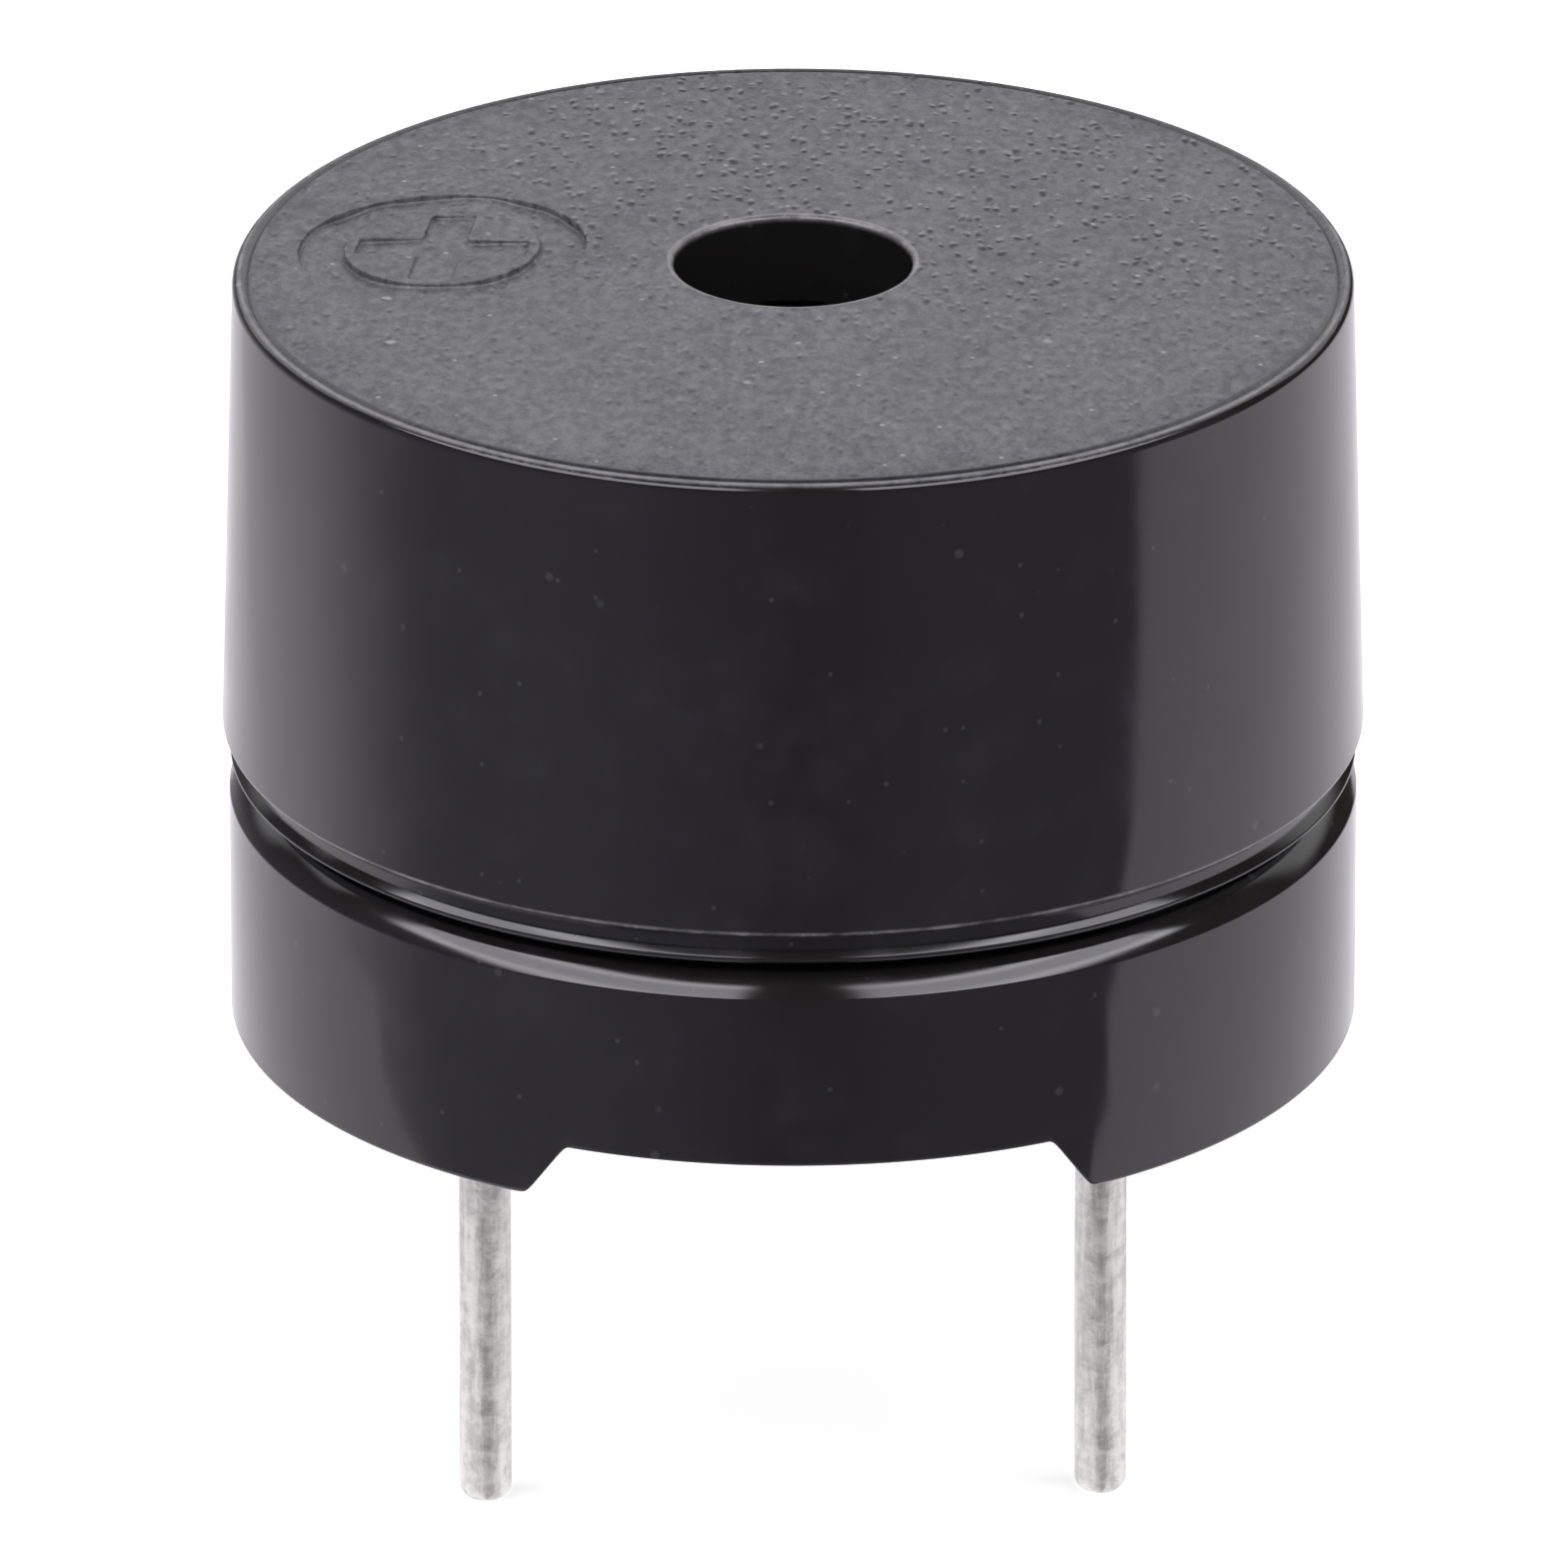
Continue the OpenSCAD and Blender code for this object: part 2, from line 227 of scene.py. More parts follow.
class NodeGraph:
    """A node tree, with short ways to add and link nodes."""

    def __init__(self, tree: bpy.types.NodeTree) -> None:
        """Empties the tree and keeps it."""
        self.tree = tree
        self.tree.nodes.clear()

    @classmethod
    def of(cls, owner: bpy.types.Material | bpy.types.World) -> NodeGraph:
        """Gives the emptied node tree of a material or a world."""
        owner.use_nodes = True
        return cls(owner.node_tree)

    def node(
        self, kind: str, inputs: dict[str | int, Value] | None = None, **settings: str
    ) -> bpy.types.Node:
        """Adds a node.

        Args:
            kind: The node's type.
            inputs: Values or sockets by the input's name or number.
            settings: The node's own properties.

        Returns:
            The node.
        """
        made = self.tree.nodes.new(kind)
        for key, value in settings.items():
            setattr(made, key, value)
        for key, value in (inputs or {}).items():
            self.feed(made.inputs[key], value)
        return made

    def feed(self, socket: Socket, value: Value) -> None:
        """Links an input to a socket, or sets its value.

        Args:
            socket: The input.
            value: The socket or value that it takes.
        """
        if isinstance(value, bpy.types.NodeSocket):
            self.tree.links.new(value, socket)
        else:
            socket.default_value = value

    def math(self, operation: str, *values: Value) -> Socket:
        """Adds a Math node.

        Args:
            operation: What it does.
            values: Its inputs, up to three.

        Returns:
            Its result.
        """
        made = self.node("ShaderNodeMath", operation=operation)
        for index, value in enumerate(values):
            self.feed(made.inputs[index], value)
        return made.outputs[0]

    def vector(self, operation: str, first: Value, second: Value) -> Socket:
        """Adds a Vector Math node and gives its result, which is a number for a distance."""
        made = self.node("ShaderNodeVectorMath", {0: first, 1: second}, operation=operation)
        return made.outputs["Value" if operation == "DISTANCE" else "Vector"]

    def band(self, value: Value, middle: float, half: float, core: float) -> Socket:
        """Gives a soft band round a value, which is full within the core's share of its half width."""
        off = self.math("ABSOLUTE", self.math("SUBTRACT", value, middle))
        return self.ramp(off, half, half * core)

    def ramp(
        self, value: Value, low: float, high: float, start: float = 0.0, end: float = 1.0
    ) -> Socket:
        """Maps a value smoothly from one range to another.

        Args:
            value: The value.
            low: Where the first range starts.
            high: Where the first range ends.
            start: What the low end becomes.
            end: What the high end becomes.

        Returns:
            The mapped value.
        """
        made = self.node(
            "ShaderNodeMapRange",
            {"Value": value, "From Min": low, "From Max": high, "To Min": start, "To Max": end},
            interpolation_type="SMOOTHSTEP",
        )
        return made.outputs["Result"]

    def millimetres(self, scale: Sequence[float] = (1.0, 1.0, 1.0)) -> Socket:
        """Gives the object coordinates in millimetres.

        Args:
            scale: A stretch along each axis.

        Returns:
            The coordinates.
        """
        place = self.node("ShaderNodeTexCoord").outputs["Object"]
        stretched = [part / MM for part in scale]
        return self.node("ShaderNodeMapping", {"Vector": place, "Scale": stretched}).outputs["Vector"]

    def noise(self, place: Socket, scale: float, detail: float = 2.0, rough: float = 0.5) -> Socket:
        """Adds a noise.

        Args:
            place: The coordinates in millimetres.
            scale: How many waves there are to the millimetre.
            detail: How many finer layers it has.
            rough: How strong the finer layers are.

        Returns:
            The noise, from 0 to 1.
        """
        inputs = {"Vector": place, "Scale": scale, "Detail": detail, "Roughness": rough}
        return self.node("ShaderNodeTexNoise", inputs).outputs["Fac"]

    def specks(
        self, place: Socket, scale: float, size: float, share: float, core: float = 0.4
    ) -> Socket:
        """Gives a mask of small round specks in some cells of a scattered pattern.

        Args:
            place: The coordinates in millimetres.
            scale: How many cells there are to the millimetre.
            size: The specks' radius as a share of a cell.
            share: The share of the cells that hold a speck.
            core: The share of the radius inside which a speck is full.

        Returns:
            The mask, 1 in a speck.
        """
        cells = self.node("ShaderNodeTexVoronoi", {"Vector": place, "Scale": scale}, feature="F1")
        near = self.ramp(cells.outputs["Distance"], size, size * core)
        parts = self.node("ShaderNodeSeparateColor", {"Color": cells.outputs["Color"]})
        chosen = self.math("GREATER_THAN", parts.outputs[0], 1.0 - share)
        return self.math("MULTIPLY", near, chosen)

    def blend(self, factor: Value, first: Value, second: Value) -> Socket:
        """Mixes two colours.

        Args:
            factor: The second colour's share.
            first: The first colour.
            second: The second colour.

        Returns:
            The mixed colour.
        """
        made = self.node("ShaderNodeMix", data_type="RGBA")
        # The colour sockets share their names with other sockets, so they go by number.
        self.feed(made.inputs["Factor"], factor)
        self.feed(made.inputs[6], first)
        self.feed(made.inputs[7], second)
        return made.outputs[2]

    def bump(
        self, height: Socket, depth: float, strength: float = 1.0, normal: Socket | None = None
    ) -> Socket:
        """Bends the normal by a height.

        Args:
            height: The height, from 0 to 1.
            depth: What a height of 1 is in millimetres.
            strength: How much of the bend is kept.
            normal: The normal that is bent, or None for the surface's own.

        Returns:
            The bent normal.
        """
        inputs = {"Height": height, "Distance": depth * MM, "Strength": strength}
        made = self.node("ShaderNodeBump", inputs)
        if normal is not None:
            self.feed(made.inputs["Normal"], normal)
        return made.outputs["Normal"]

    def surface(self, **inputs: Value) -> None:
        """Ends the material in a Principled shader.

        Args:
            inputs: The shader's inputs by lower-case name.
        """
        shader = self.node("ShaderNodeBsdfPrincipled")
        for key, value in inputs.items():
            self.feed(shader.inputs[key.replace("_", " ").title().replace("Ior", "IOR")], value)
        self.node("ShaderNodeOutputMaterial", {"Surface": shader.outputs[0]})


def solid(colour: Colour) -> tuple[float, float, float, float]:
    """Gives a colour with full alpha."""
    return (*colour, 1.0)


@dataclass(frozen=True)
class MouldedBlack:
    """Black moulded plastic: glossy on the sides and spark-eroded on the top of the upper case."""

    name: str = "moulded_black"
    side_colour: Colour = (0.0108, 0.0099, 0.0099)
    film_colour: Colour = (0.0175, 0.0165, 0.0180)
    # The top's grey is partly the eroded plastic's own colour and partly painted sheen.
    top_colour_and_sheen: Colour = (0.104, 0.1035, 0.1135)
    dust_colour: Colour = (0.40, 0.39, 0.41)
    edge_wear_and_highlight_colour: Colour = (0.27, 0.26, 0.275)
    gloss_tint: Colour = (0.96, 0.94, 1.0)
    side_roughness: float = 0.085
    smudge_roughness: float = 0.08
    top_roughness: float = 0.48
    worn_roughness: float = 0.30
    grain_scale: float = 9.0
    grain_stretch: float = 0.62
    pit_scale: float = 8.0
    pit_size: float = 0.47
    pit_share: float = 0.55
    pit_shift: float = 0.07
    pit_warp: float = 0.13
    pit_middle: tuple[float, float, float] = (2.2, 3.8, 8.3)
    pit_reach: Point = (7.0, 3.0)
    pit_strength: Point = (0.26, 0.80)
    pit_depth: float = 0.015
    pit_shadow_tone: float = 0.08
    crest_highlight_tone: float = 1.92
    sway_scale: float = 5.0
    shade_reach: Point = (5.0, 5.7)
    shade_depth: float = 0.08
    wave_scale: float = 0.35
    wave_depth: float = 0.035
    cloud_scale: float = 0.9
    cloud_change: float = 0.04
    film_scale: float = 1.1
    smudge_scale: float = 0.55
    breakup_scale: float = 2.4
    coarse_dust: tuple[float, float, float] = (1.9, 0.14, 0.12)
    small_dust: tuple[float, float, float] = (5.0, 0.19, 0.11)
    side_dust: float = 0.06
    top_dust: float = 0.60
    ior: float = 1.56
    rim_r: float = 5.83
    groove_r: float = 5.719
    groove_half: float = 0.056
    groove_core: float = 0.5
    groove_painted_shade: float = 0.75
    rim_edge_r: float = 5.80
    rim_edge_half: float = 0.026
    rim_edge_core: float = 0.3
    rim_edge_rise: float = 0.05
    rim_edge_wear_and_highlight: Point = (0.5, 0.25)
    hole_r: float = 1.30
    top_z: float = 8.12
    lip_r: float = 5.95
    lip_z: float = 3.262
    lip_half: float = 0.046
    lip_core: float = 0.3
    lip_wear_and_highlight: Point = (0.6, 0.0)
    hole_edge_r: float = 1.285
    hole_edge_half: float = 0.05
    hole_edge_core: float = 0.4
    hole_edge_rise: Point = (0.20, 0.26)
    hole_edge_wear_and_highlight: Point = (0.6, 0.4)
    blur: float = 0.02

    def build(self) -> bpy.types.Material:
        """Makes the material.

        Returns:
            The material.
        """
        material = bpy.data.materials.new(self.name)
        graph = NodeGraph.of(material)
        place = graph.millimetres()
        parts = graph.node("ShaderNodeSeparateXYZ", {"Vector": place}).outputs
        y_square = graph.math("MULTIPLY", parts[1], parts[1])
        r = graph.math("SQRT", graph.math("MULTIPLY_ADD", parts[0], parts[0], y_square))
        top = self.top_mask(graph, r, parts[2])
        wear_and_highlight = self.edge_wear_and_highlight_mask(graph, place, r, parts[2])
        craters = self.craters(graph, place, r)
        rough = self.roughness(graph, place, top, wear_and_highlight)
        graph.surface(
            base_color=self.colour(graph, place, top, wear_and_highlight, craters),
            roughness=rough,
            ior=self.ior,
            specular_tint=solid(self.gloss_tint),
            normal=self.relief(graph, place, top, craters),
        )
        return material

    def top_mask(self, graph: NodeGraph, r: Socket, z: Socket) -> Socket:
        """Gives the eroded top, inside its rim, outside its hole and thinner in the rim's groove,
        which paints shade into the groove.

        Args:
            graph: The material's node tree.
            r: The distance from the axis.
            z: The height.

        Returns:
            The mask, 1 on the top.
        """
        inside = graph.ramp(r, self.rim_r + self.blur, self.rim_r - self.blur)
        outside = graph.ramp(r, self.hole_r - self.blur, self.hole_r + self.blur)
        above = graph.ramp(z, self.top_z - self.blur, self.top_z + self.blur)
        # The groove thins the grey top, which paints shade into it.
        groove = graph.band(r, self.groove_r, self.groove_half, self.groove_core)
        eroded = graph.math("MULTIPLY_ADD", groove, -self.groove_painted_shade, 1.0)
        flat = graph.math("MULTIPLY", graph.math("MULTIPLY", inside, outside), eroded)
        return graph.math("MULTIPLY", flat, above)

    def edge_wear_and_highlight_mask(self, graph: NodeGraph, place: Socket, r: Socket, z: Socket) -> Socket:
        """Gives the pale, broken lines on the lip, the rim and the hole's edge: partly rubbed by
        handling, partly painted highlight.

        Args:
            graph: The material's node tree.
            place: The coordinates in millimetres.
            r: The distance from the axis.
            z: The height.

        Returns:
            The mask, 1 on those lines.
        """
        outer = graph.ramp(r, self.lip_r - self.blur, self.lip_r + self.blur)
        seam = graph.band(z, self.lip_z, self.lip_half, self.lip_core)
        lip = graph.math("MULTIPLY", seam, outer)
        crown = graph.ramp(z, *(self.top_z + rise for rise in self.hole_edge_rise))
        ring = graph.band(r, self.hole_edge_r, self.hole_edge_half, self.hole_edge_core)
        hole = graph.math("MULTIPLY", ring, crown)
        above = graph.ramp(z, self.top_z, self.top_z + self.rim_edge_rise)
        crest = graph.band(r, self.rim_edge_r, self.rim_edge_half, self.rim_edge_core)
        rim = graph.math("MULTIPLY", crest, above)
        breakup = graph.noise(place, self.breakup_scale, 4.0, 0.7)
        broken = graph.ramp(breakup, 0.34, 0.66, 0.10, 1.0)
        lines = ((lip, self.lip_wear_and_highlight), (hole, self.hole_edge_wear_and_highlight), (rim, self.rim_edge_wear_and_highlight))
        total: Value = 0.0
        for line, (change, least) in lines:
            patchy = graph.math("MULTIPLY", line, graph.math("MULTIPLY_ADD", broken, change, least))
            total = graph.math("MAXIMUM", total, patchy)
        return total

    def craters(self, graph: NodeGraph, place: Socket, r: Socket) -> Socket:
        """Gives the spark-eroded skin: a soft grain, and pits that grow to the back right, each
        painted with a highlight and a shadow, and painted shade towards the rim.

        Args:
            graph: The material's node tree.
            place: The coordinates in millimetres.
            r: The distance from the axis.

        Returns:
            The skin, from 0 in a pit to 1 on a lip.
        """
        drawn = graph.millimetres((1.0, self.grain_stretch, 1.0))
        waves = {"Vector": drawn, "Scale": self.sway_scale, "Detail": 1.0}
        sway = graph.node("ShaderNodeTexNoise", waves).outputs["Color"]
        centred = graph.vector("SUBTRACT", sway, (0.5,) * 3)
        swayed = graph.vector("MULTIPLY", centred, (self.pit_warp,) * 3)
        here = graph.vector("ADD", drawn, swayed)
        before = graph.vector("ADD", here, (0.0, self.pit_shift * self.grain_stretch, 0.0))
        away = graph.vector("DISTANCE", place, self.pit_middle)
        near = graph.ramp(away, *self.pit_reach, *self.pit_strength)
        # Each pit is a light speck with a dark speck shifted beside it: a painted highlight and a
        # painted shadow, which also feed the bump.
        lips = graph.specks(here, self.pit_scale, self.pit_size, self.pit_share, 0.0)
        pits = graph.specks(before, self.pit_scale, self.pit_size, self.pit_share, 0.0)
        fine = graph.noise(drawn, self.grain_scale, 3.0, 0.7)
        grain = graph.ramp(fine, 0.28, 0.72, 0.31, 0.69)
        worked = graph.math("MULTIPLY_ADD", graph.math("SUBTRACT", lips, pits), near, grain)
        # The skin is made darker towards the rim: painted shade.
        return graph.math("SUBTRACT", worked, graph.ramp(r, *self.shade_reach, 0.0, self.shade_depth))

    def colour(
        self, graph: NodeGraph, place: Socket, top: Socket, wear_and_highlight: Socket, craters: Socket
    ) -> Socket:
        """Gives the colour: black sides with a faint film, a grey top with painted sheen, pits with
        painted highlight and shadow, rubbed edges with painted highlights, and dust.

        Args:
            graph: The material's node tree.
            place: The coordinates in millimetres.
            top: The mask of the top.
            wear_and_highlight: The mask of the rubbed edges and their painted highlights.
            craters: The skin of the top.

        Returns:
            The colour.
        """
        # Dark pits and light crests: the pits' painted shadow and painted highlight.
        dark = tuple(part * self.pit_shadow_tone for part in self.top_colour_and_sheen)
        light = tuple(part * self.crest_highlight_tone for part in self.top_colour_and_sheen)
        haze = graph.noise(place, self.cloud_scale, 3.0)
        cloud = graph.ramp(haze, *NOISE_RANGE, -self.cloud_change, self.cloud_change)
        eroded = graph.blend(graph.math("ADD", craters, cloud), solid(dark), solid(light))
        film = graph.ramp(graph.noise(place, self.film_scale, 6.0, 0.66), 0.46, 0.78)
        side = graph.blend(film, solid(self.side_colour), solid(self.film_colour))
        # The grey top over the black sides: partly the eroded skin's colour, partly painted sheen.
        colour = graph.blend(top, side, eroded)
        # Pale rubbed edges, which also paint highlights on the lip, the rim and the hole's edge.
        colour = graph.blend(wear_and_highlight, colour, solid(self.edge_wear_and_highlight_colour))
        share = graph.ramp(top, 0.0, 1.0, self.side_dust, self.top_dust)
        dust = graph.math("MULTIPLY", self.dust_mask(graph, place), share)
        return graph.blend(dust, colour, solid(self.dust_colour))

    def dust_mask(self, graph: NodeGraph, place: Socket) -> Socket:
        """Gives fine dust in two sizes.

        Args:
            graph: The material's node tree.
            place: The coordinates in millimetres.

        Returns:
            The mask, 1 in a speck.
        """
        coarse = graph.specks(place, *self.coarse_dust)
        small = graph.specks(place, *self.small_dust)
        return graph.math("MAXIMUM", coarse, small)

    def roughness(self, graph: NodeGraph, place: Socket, top: Socket, wear_and_highlight: Socket) -> Socket:
        """Gives the roughness: smudged gloss on the sides, duller on rubbed edges and the top.

        Args:
            graph: The material's node tree.
            place: The coordinates in millimetres.
            top: The mask of the top.
            wear_and_highlight: The mask of the rubbed edges and their painted highlights.

        Returns:
            The roughness.
        """
        smear = graph.noise(place, self.smudge_scale, 4.0, 0.6)
        smudge = graph.ramp(smear, 0.38, 0.72, 0.0, self.smudge_roughness)
        side = graph.math("ADD", smudge, self.side_roughness)
        side = graph.math("MULTIPLY_ADD", wear_and_highlight, self.worn_roughness, side)
        rise = graph.math("SUBTRACT", self.top_roughness, side)
        return graph.math("MULTIPLY_ADD", top, rise, side)

    def relief(self, graph: NodeGraph, place: Socket, top: Socket, craters: Socket) -> Socket:
        """Gives the normal: craters on the top, and slow waves on the sides.

        Args:
            graph: The material's node tree.
            place: The coordinates in millimetres.
            top: The mask of the top.
            craters: The skin of the top.

        Returns:
            The normal.
        """
        sides = graph.math("SUBTRACT", 1.0, top)
        waves = graph.math("MULTIPLY", graph.noise(place, self.wave_scale, 1.0), sides)
        normal = graph.bump(waves, self.wave_depth, 0.5)
        return graph.bump(graph.math("MULTIPLY", craters, top), self.pit_depth, 1.0, normal)


@dataclass(frozen=True)
class TinnedMetal:
    """Tin plating or solder: pale lumpy metal, mottled, with faint drawing streaks along Z."""

    name: str
    light: Colour = (0.89, 0.865, 0.82)
    dark: Colour = (0.54, 0.525, 0.495)
    roughness: float = 0.48
    streaks: float = 1.0
    streak_stretch: float = 0.10
    mottle_scale: float = 6.0
    streak_scale: float = 9.0
    lump_scale: float = 2.2
    lump_depth: float = 0.06
    skin_depth: float = 0.018
    bend: float = 0.7
    streak_share: float = 0.4
    rough_change: Point = (-0.06, 0.10)

    def build(self) -> bpy.types.Material:
        """Makes the material.

        Returns:
            The material.
        """
        material = bpy.data.materials.new(self.name)
        graph = NodeGraph.of(material)
        place = graph.millimetres()
        along = graph.millimetres((1.0, 1.0, self.streak_stretch))
        mottle = graph.noise(place, self.mottle_scale, 3.0, 0.65)
        streak = graph.noise(along, self.streak_scale, 3.0, 0.6)
        lumps = graph.noise(place, self.lump_scale, 1.0)
        spots = graph.math("MULTIPLY", mottle, 1.0 - self.streak_share)
        tone = graph.math("MULTIPLY_ADD", streak, self.streak_share * self.streaks, spots)
        colour = graph.blend(graph.ramp(tone, 0.36, 0.62), solid(self.dark), solid(self.light))
        ends = (self.roughness + change for change in self.rough_change)
        rough = graph.ramp(mottle, *NOISE_RANGE, *ends)
        skin = graph.math("MULTIPLY_ADD", streak, self.streaks, mottle)
        normal = graph.bump(lumps, self.lump_depth, self.bend)
        normal = graph.bump(skin, self.skin_depth, self.bend, normal)
        graph.surface(base_color=colour, metallic=1.0, roughness=rough, normal=normal)
        return material


@dataclass(frozen=True)
class PlainMetal:
    """A rolled or turned metal with a fine lay and cloudy tone."""

    name: str
    colour: Colour
    roughness: float
    lay: tuple[float, float, float] = (1.0, 12.0, 1.0)
    metallic: float = 1.0
    cloud_scale: float = 1.2
    lay_scale: float = 3.0
    lay_depth: float = 0.006
    darkest: float = 0.75
    lightest: float = 1.20
    lay_share: float = 0.4
    rough_change: Point = (-0.05, 0.08)

    def build(self) -> bpy.types.Material:
        """Makes the material.

        Returns:
            The material.
        """
        material = bpy.data.materials.new(self.name)
        graph = NodeGraph.of(material)
        cloud = graph.noise(graph.millimetres(), self.cloud_scale, 4.0, 0.6)
        lay = graph.noise(graph.millimetres(self.lay), self.lay_scale, 3.0, 0.6)
        low = tuple(part * self.darkest for part in self.colour)
        high = tuple(part * self.lightest for part in self.colour)
        lines = graph.math("MULTIPLY", lay, self.lay_share)
        tone = graph.math("MULTIPLY_ADD", cloud, 1.0 - self.lay_share, lines)
        colour = graph.blend(graph.ramp(tone, *NOISE_RANGE), solid(low), solid(high))
        ends = (self.roughness + change for change in self.rough_change)
        rough = graph.ramp(lay, *NOISE_RANGE, *ends)
        normal = graph.bump(lay, self.lay_depth, 0.6)
        graph.surface(base_color=colour, metallic=self.metallic, roughness=rough, normal=normal)
        return material


@dataclass(frozen=True)
class CastResin:
    """Black casting resin with a wavy skin and a few pinholes."""

    name: str = "cast_resin"
    colour: Colour = (0.012, 0.012, 0.013)
    roughness: float = 0.14
    ior: float = 1.52
    wave_scale: float = 0.7
    wave_depth: float = 0.06
    pinholes: tuple[float, float, float] = (1.6, 0.16, 0.25)
    pinhole_depth: float = 0.4
    tone_scale: float = 2.0
    dull_scale: float = 1.1
    rough_change: Point = (-0.05, 0.12)
    palest: float = 1.8

    def build(self) -> bpy.types.Material:
        """Makes the material.

        Returns:
            The material.
        """
        material = bpy.data.materials.new(self.name)
        graph = NodeGraph.of(material)
        place = graph.millimetres()
        wave = graph.noise(place, self.wave_scale, 2.0)
        holes = graph.math("MULTIPLY", graph.specks(place, *self.pinholes), self.pinhole_depth)
        normal = graph.bump(graph.math("SUBTRACT", wave, holes), self.wave_depth, 0.5)
        pale = tuple(part * self.palest for part in self.colour)
        tone = graph.noise(place, self.tone_scale, 3.0)
        colour = graph.blend(tone, solid(self.colour), solid(pale))
        dull = graph.noise(place, self.dull_scale, 3.0)
        ends = (self.roughness + change for change in self.rough_change)
        rough = graph.ramp(dull, *NOISE_RANGE, *ends)
        graph.surface(base_color=colour, roughness=rough, ior=self.ior, normal=normal)
        return material


@dataclass(frozen=True)
class BoardLaminate:
    """Glass-fibre board with a woven ground under a green lacquer."""

    name: str = "board_laminate"
    colour: Colour = (0.020, 0.105, 0.045)
    threads: float = 4.0
    roughness: float = 0.35
    weave_depth: float = 0.01
    palest: float = 1.6

    def build(self) -> bpy.types.Material:
        """Makes the material.

        Returns:
            The material.
        """
        material = bpy.data.materials.new(self.name)
        graph = NodeGraph.of(material)
        place = graph.millimetres()
        parts = graph.node("ShaderNodeSeparateXYZ", {"Vector": place}).outputs
        pitch = math.tau * self.threads
        warp = graph.math("SINE", graph.math("MULTIPLY", parts[0], pitch))
        weft = graph.math("SINE", graph.math("MULTIPLY", parts[1], pitch))
        weave = graph.ramp(graph.math("MULTIPLY", warp, weft), -1.0, 1.0)
        pale = tuple(part * self.palest for part in self.colour)
        colour = graph.blend(weave, solid(self.colour), solid(pale))
        normal = graph.bump(weave, self.weave_depth, 0.4)
        graph.surface(base_color=colour, roughness=self.roughness, normal=normal)
        return material


@dataclass
class PolarityMark:
    """The sunken ring and plus beside the sound hole, in millimetres."""

    ring_r: float = 1.51
    island_r: float = 1.03
    plus_l: float = 1.8
    plus_w: float = 0.46
    plus_corner: float = 0.05
    plus_corner_steps: int = 3
    depth: float = 0.07
    plus_depth: float = 0.05
    margin: float = 0.65
    turn: float = -10.0
    overcut: float = 0.12
    ease: tuple[Point, ...] = ((0.020, 0.012), (0.008, -0.003), (0.002, -0.010), (0.0, -0.020))
    floor_r: float = 0.02
    unevenness: float = 0.04
    wave: float = 1.7
    segments: int = 144

    def cutter(self, top_r: float, crown_r: float, crown_z: float) -> bpy.types.Object:
        """Makes the solid that the mark takes out of the crowned top.

        Args:
            top_r: The radius of the top.
            crown_r: The radius of the sphere that crowns it.
            crown_z: The height of that sphere's centre.

        Returns:
            The cutter, in place.
        """
        mesh = self.ring()
        self.add_plus(mesh)
        for vert in mesh.verts:
            square = vert.co.x * vert.co.x + vert.co.y * vert.co.y
            if vert.co.z < -self.floor_r:
                spot = Vector((vert.co.x, vert.co.y, 0.0)) * self.wave
                vert.co.z += self.unevenness * noise.noise(spot)
            vert.co.z += math.sqrt(crown_r * crown_r - square)
        tilt = math.asin((top_r - self.margin - self.ring_r) / crown_r)
        place = Matrix.Translation((0.0, 0.0, crown_z))
        place @= Matrix.Rotation(math.radians(180.0 + self.turn), 4, "Z")
        place @= Matrix.Rotation(tilt, 4, "Y")
        bmesh.ops.transform(mesh, matrix=place, verts=mesh.verts)
        bmesh.ops.triangulate(mesh, faces=mesh.faces)
        return new_object("mark_cutter", mesh)

    def levels(self, depth: float) -> list[Point]:
        """Gives a wall's section.

        Args:
            depth: How deep its floor lies.

        Returns:
            Offsets and heights, from above the surface down to the floor.
        """
        above = (self.ease[0][0], self.overcut)
        floor = ((0.0, self.floor_r - depth), (-self.floor_r, -depth))
        return [above, *self.ease, *floor]

    def ring(self) -> bmesh.types.BMesh:
        """Makes the ring, with eased edges and a rounded floor.

        Returns:
            The ring as a bmesh in millimetres.
        """
        outer = [(self.ring_r + offset, z) for offset, z in self.levels(self.depth)]
        inner = [(self.island_r - offset, z) for offset, z in reversed(self.levels(self.depth))]
        return turn_outline(outer + inner, even_angles(self.segments))

    def add_plus(self, mesh: bmesh.types.BMesh) -> None:
        """Adds the plus, as a loft of offset outlines.

        Args:
            mesh: The bmesh that takes it.
        """
        loops = []
        for offset, z in self.levels(self.plus_depth):
            loops.append([mesh.verts.new((x, y, z)) for x, y in self.plus_outline(offset)])
        for upper, lower in zip(loops, loops[1:]):
            for index in range(len(upper)):
                mesh.faces.new((upper[index - 1], upper[index], lower[index], lower[index - 1]))
        mesh.faces.new(loops[0])
        mesh.faces.new(loops[-1])

    def plus_outline(self, offset: float) -> list[Point]:
        """Gives the outline of the plus.

        Args:
            offset: How far it is grown.

        Returns:
            The outline's points.
        """
        far = self.plus_l / 2 + offset
        near = self.plus_w / 2 + offset
        arm = [(far, near), (near, near), (near, far)]
        corners = []
        for quarter in range(4):
            angle = math.pi / 2 * quarter
            for x, y in arm:
                turned_x = x * math.cos(angle) - y * math.sin(angle)
                turned_y = x * math.sin(angle) + y * math.cos(angle)
                corners.append(Corner(turned_x, turned_y, self.plus_corner))
        return round_outline(corners, self.plus_corner_steps)


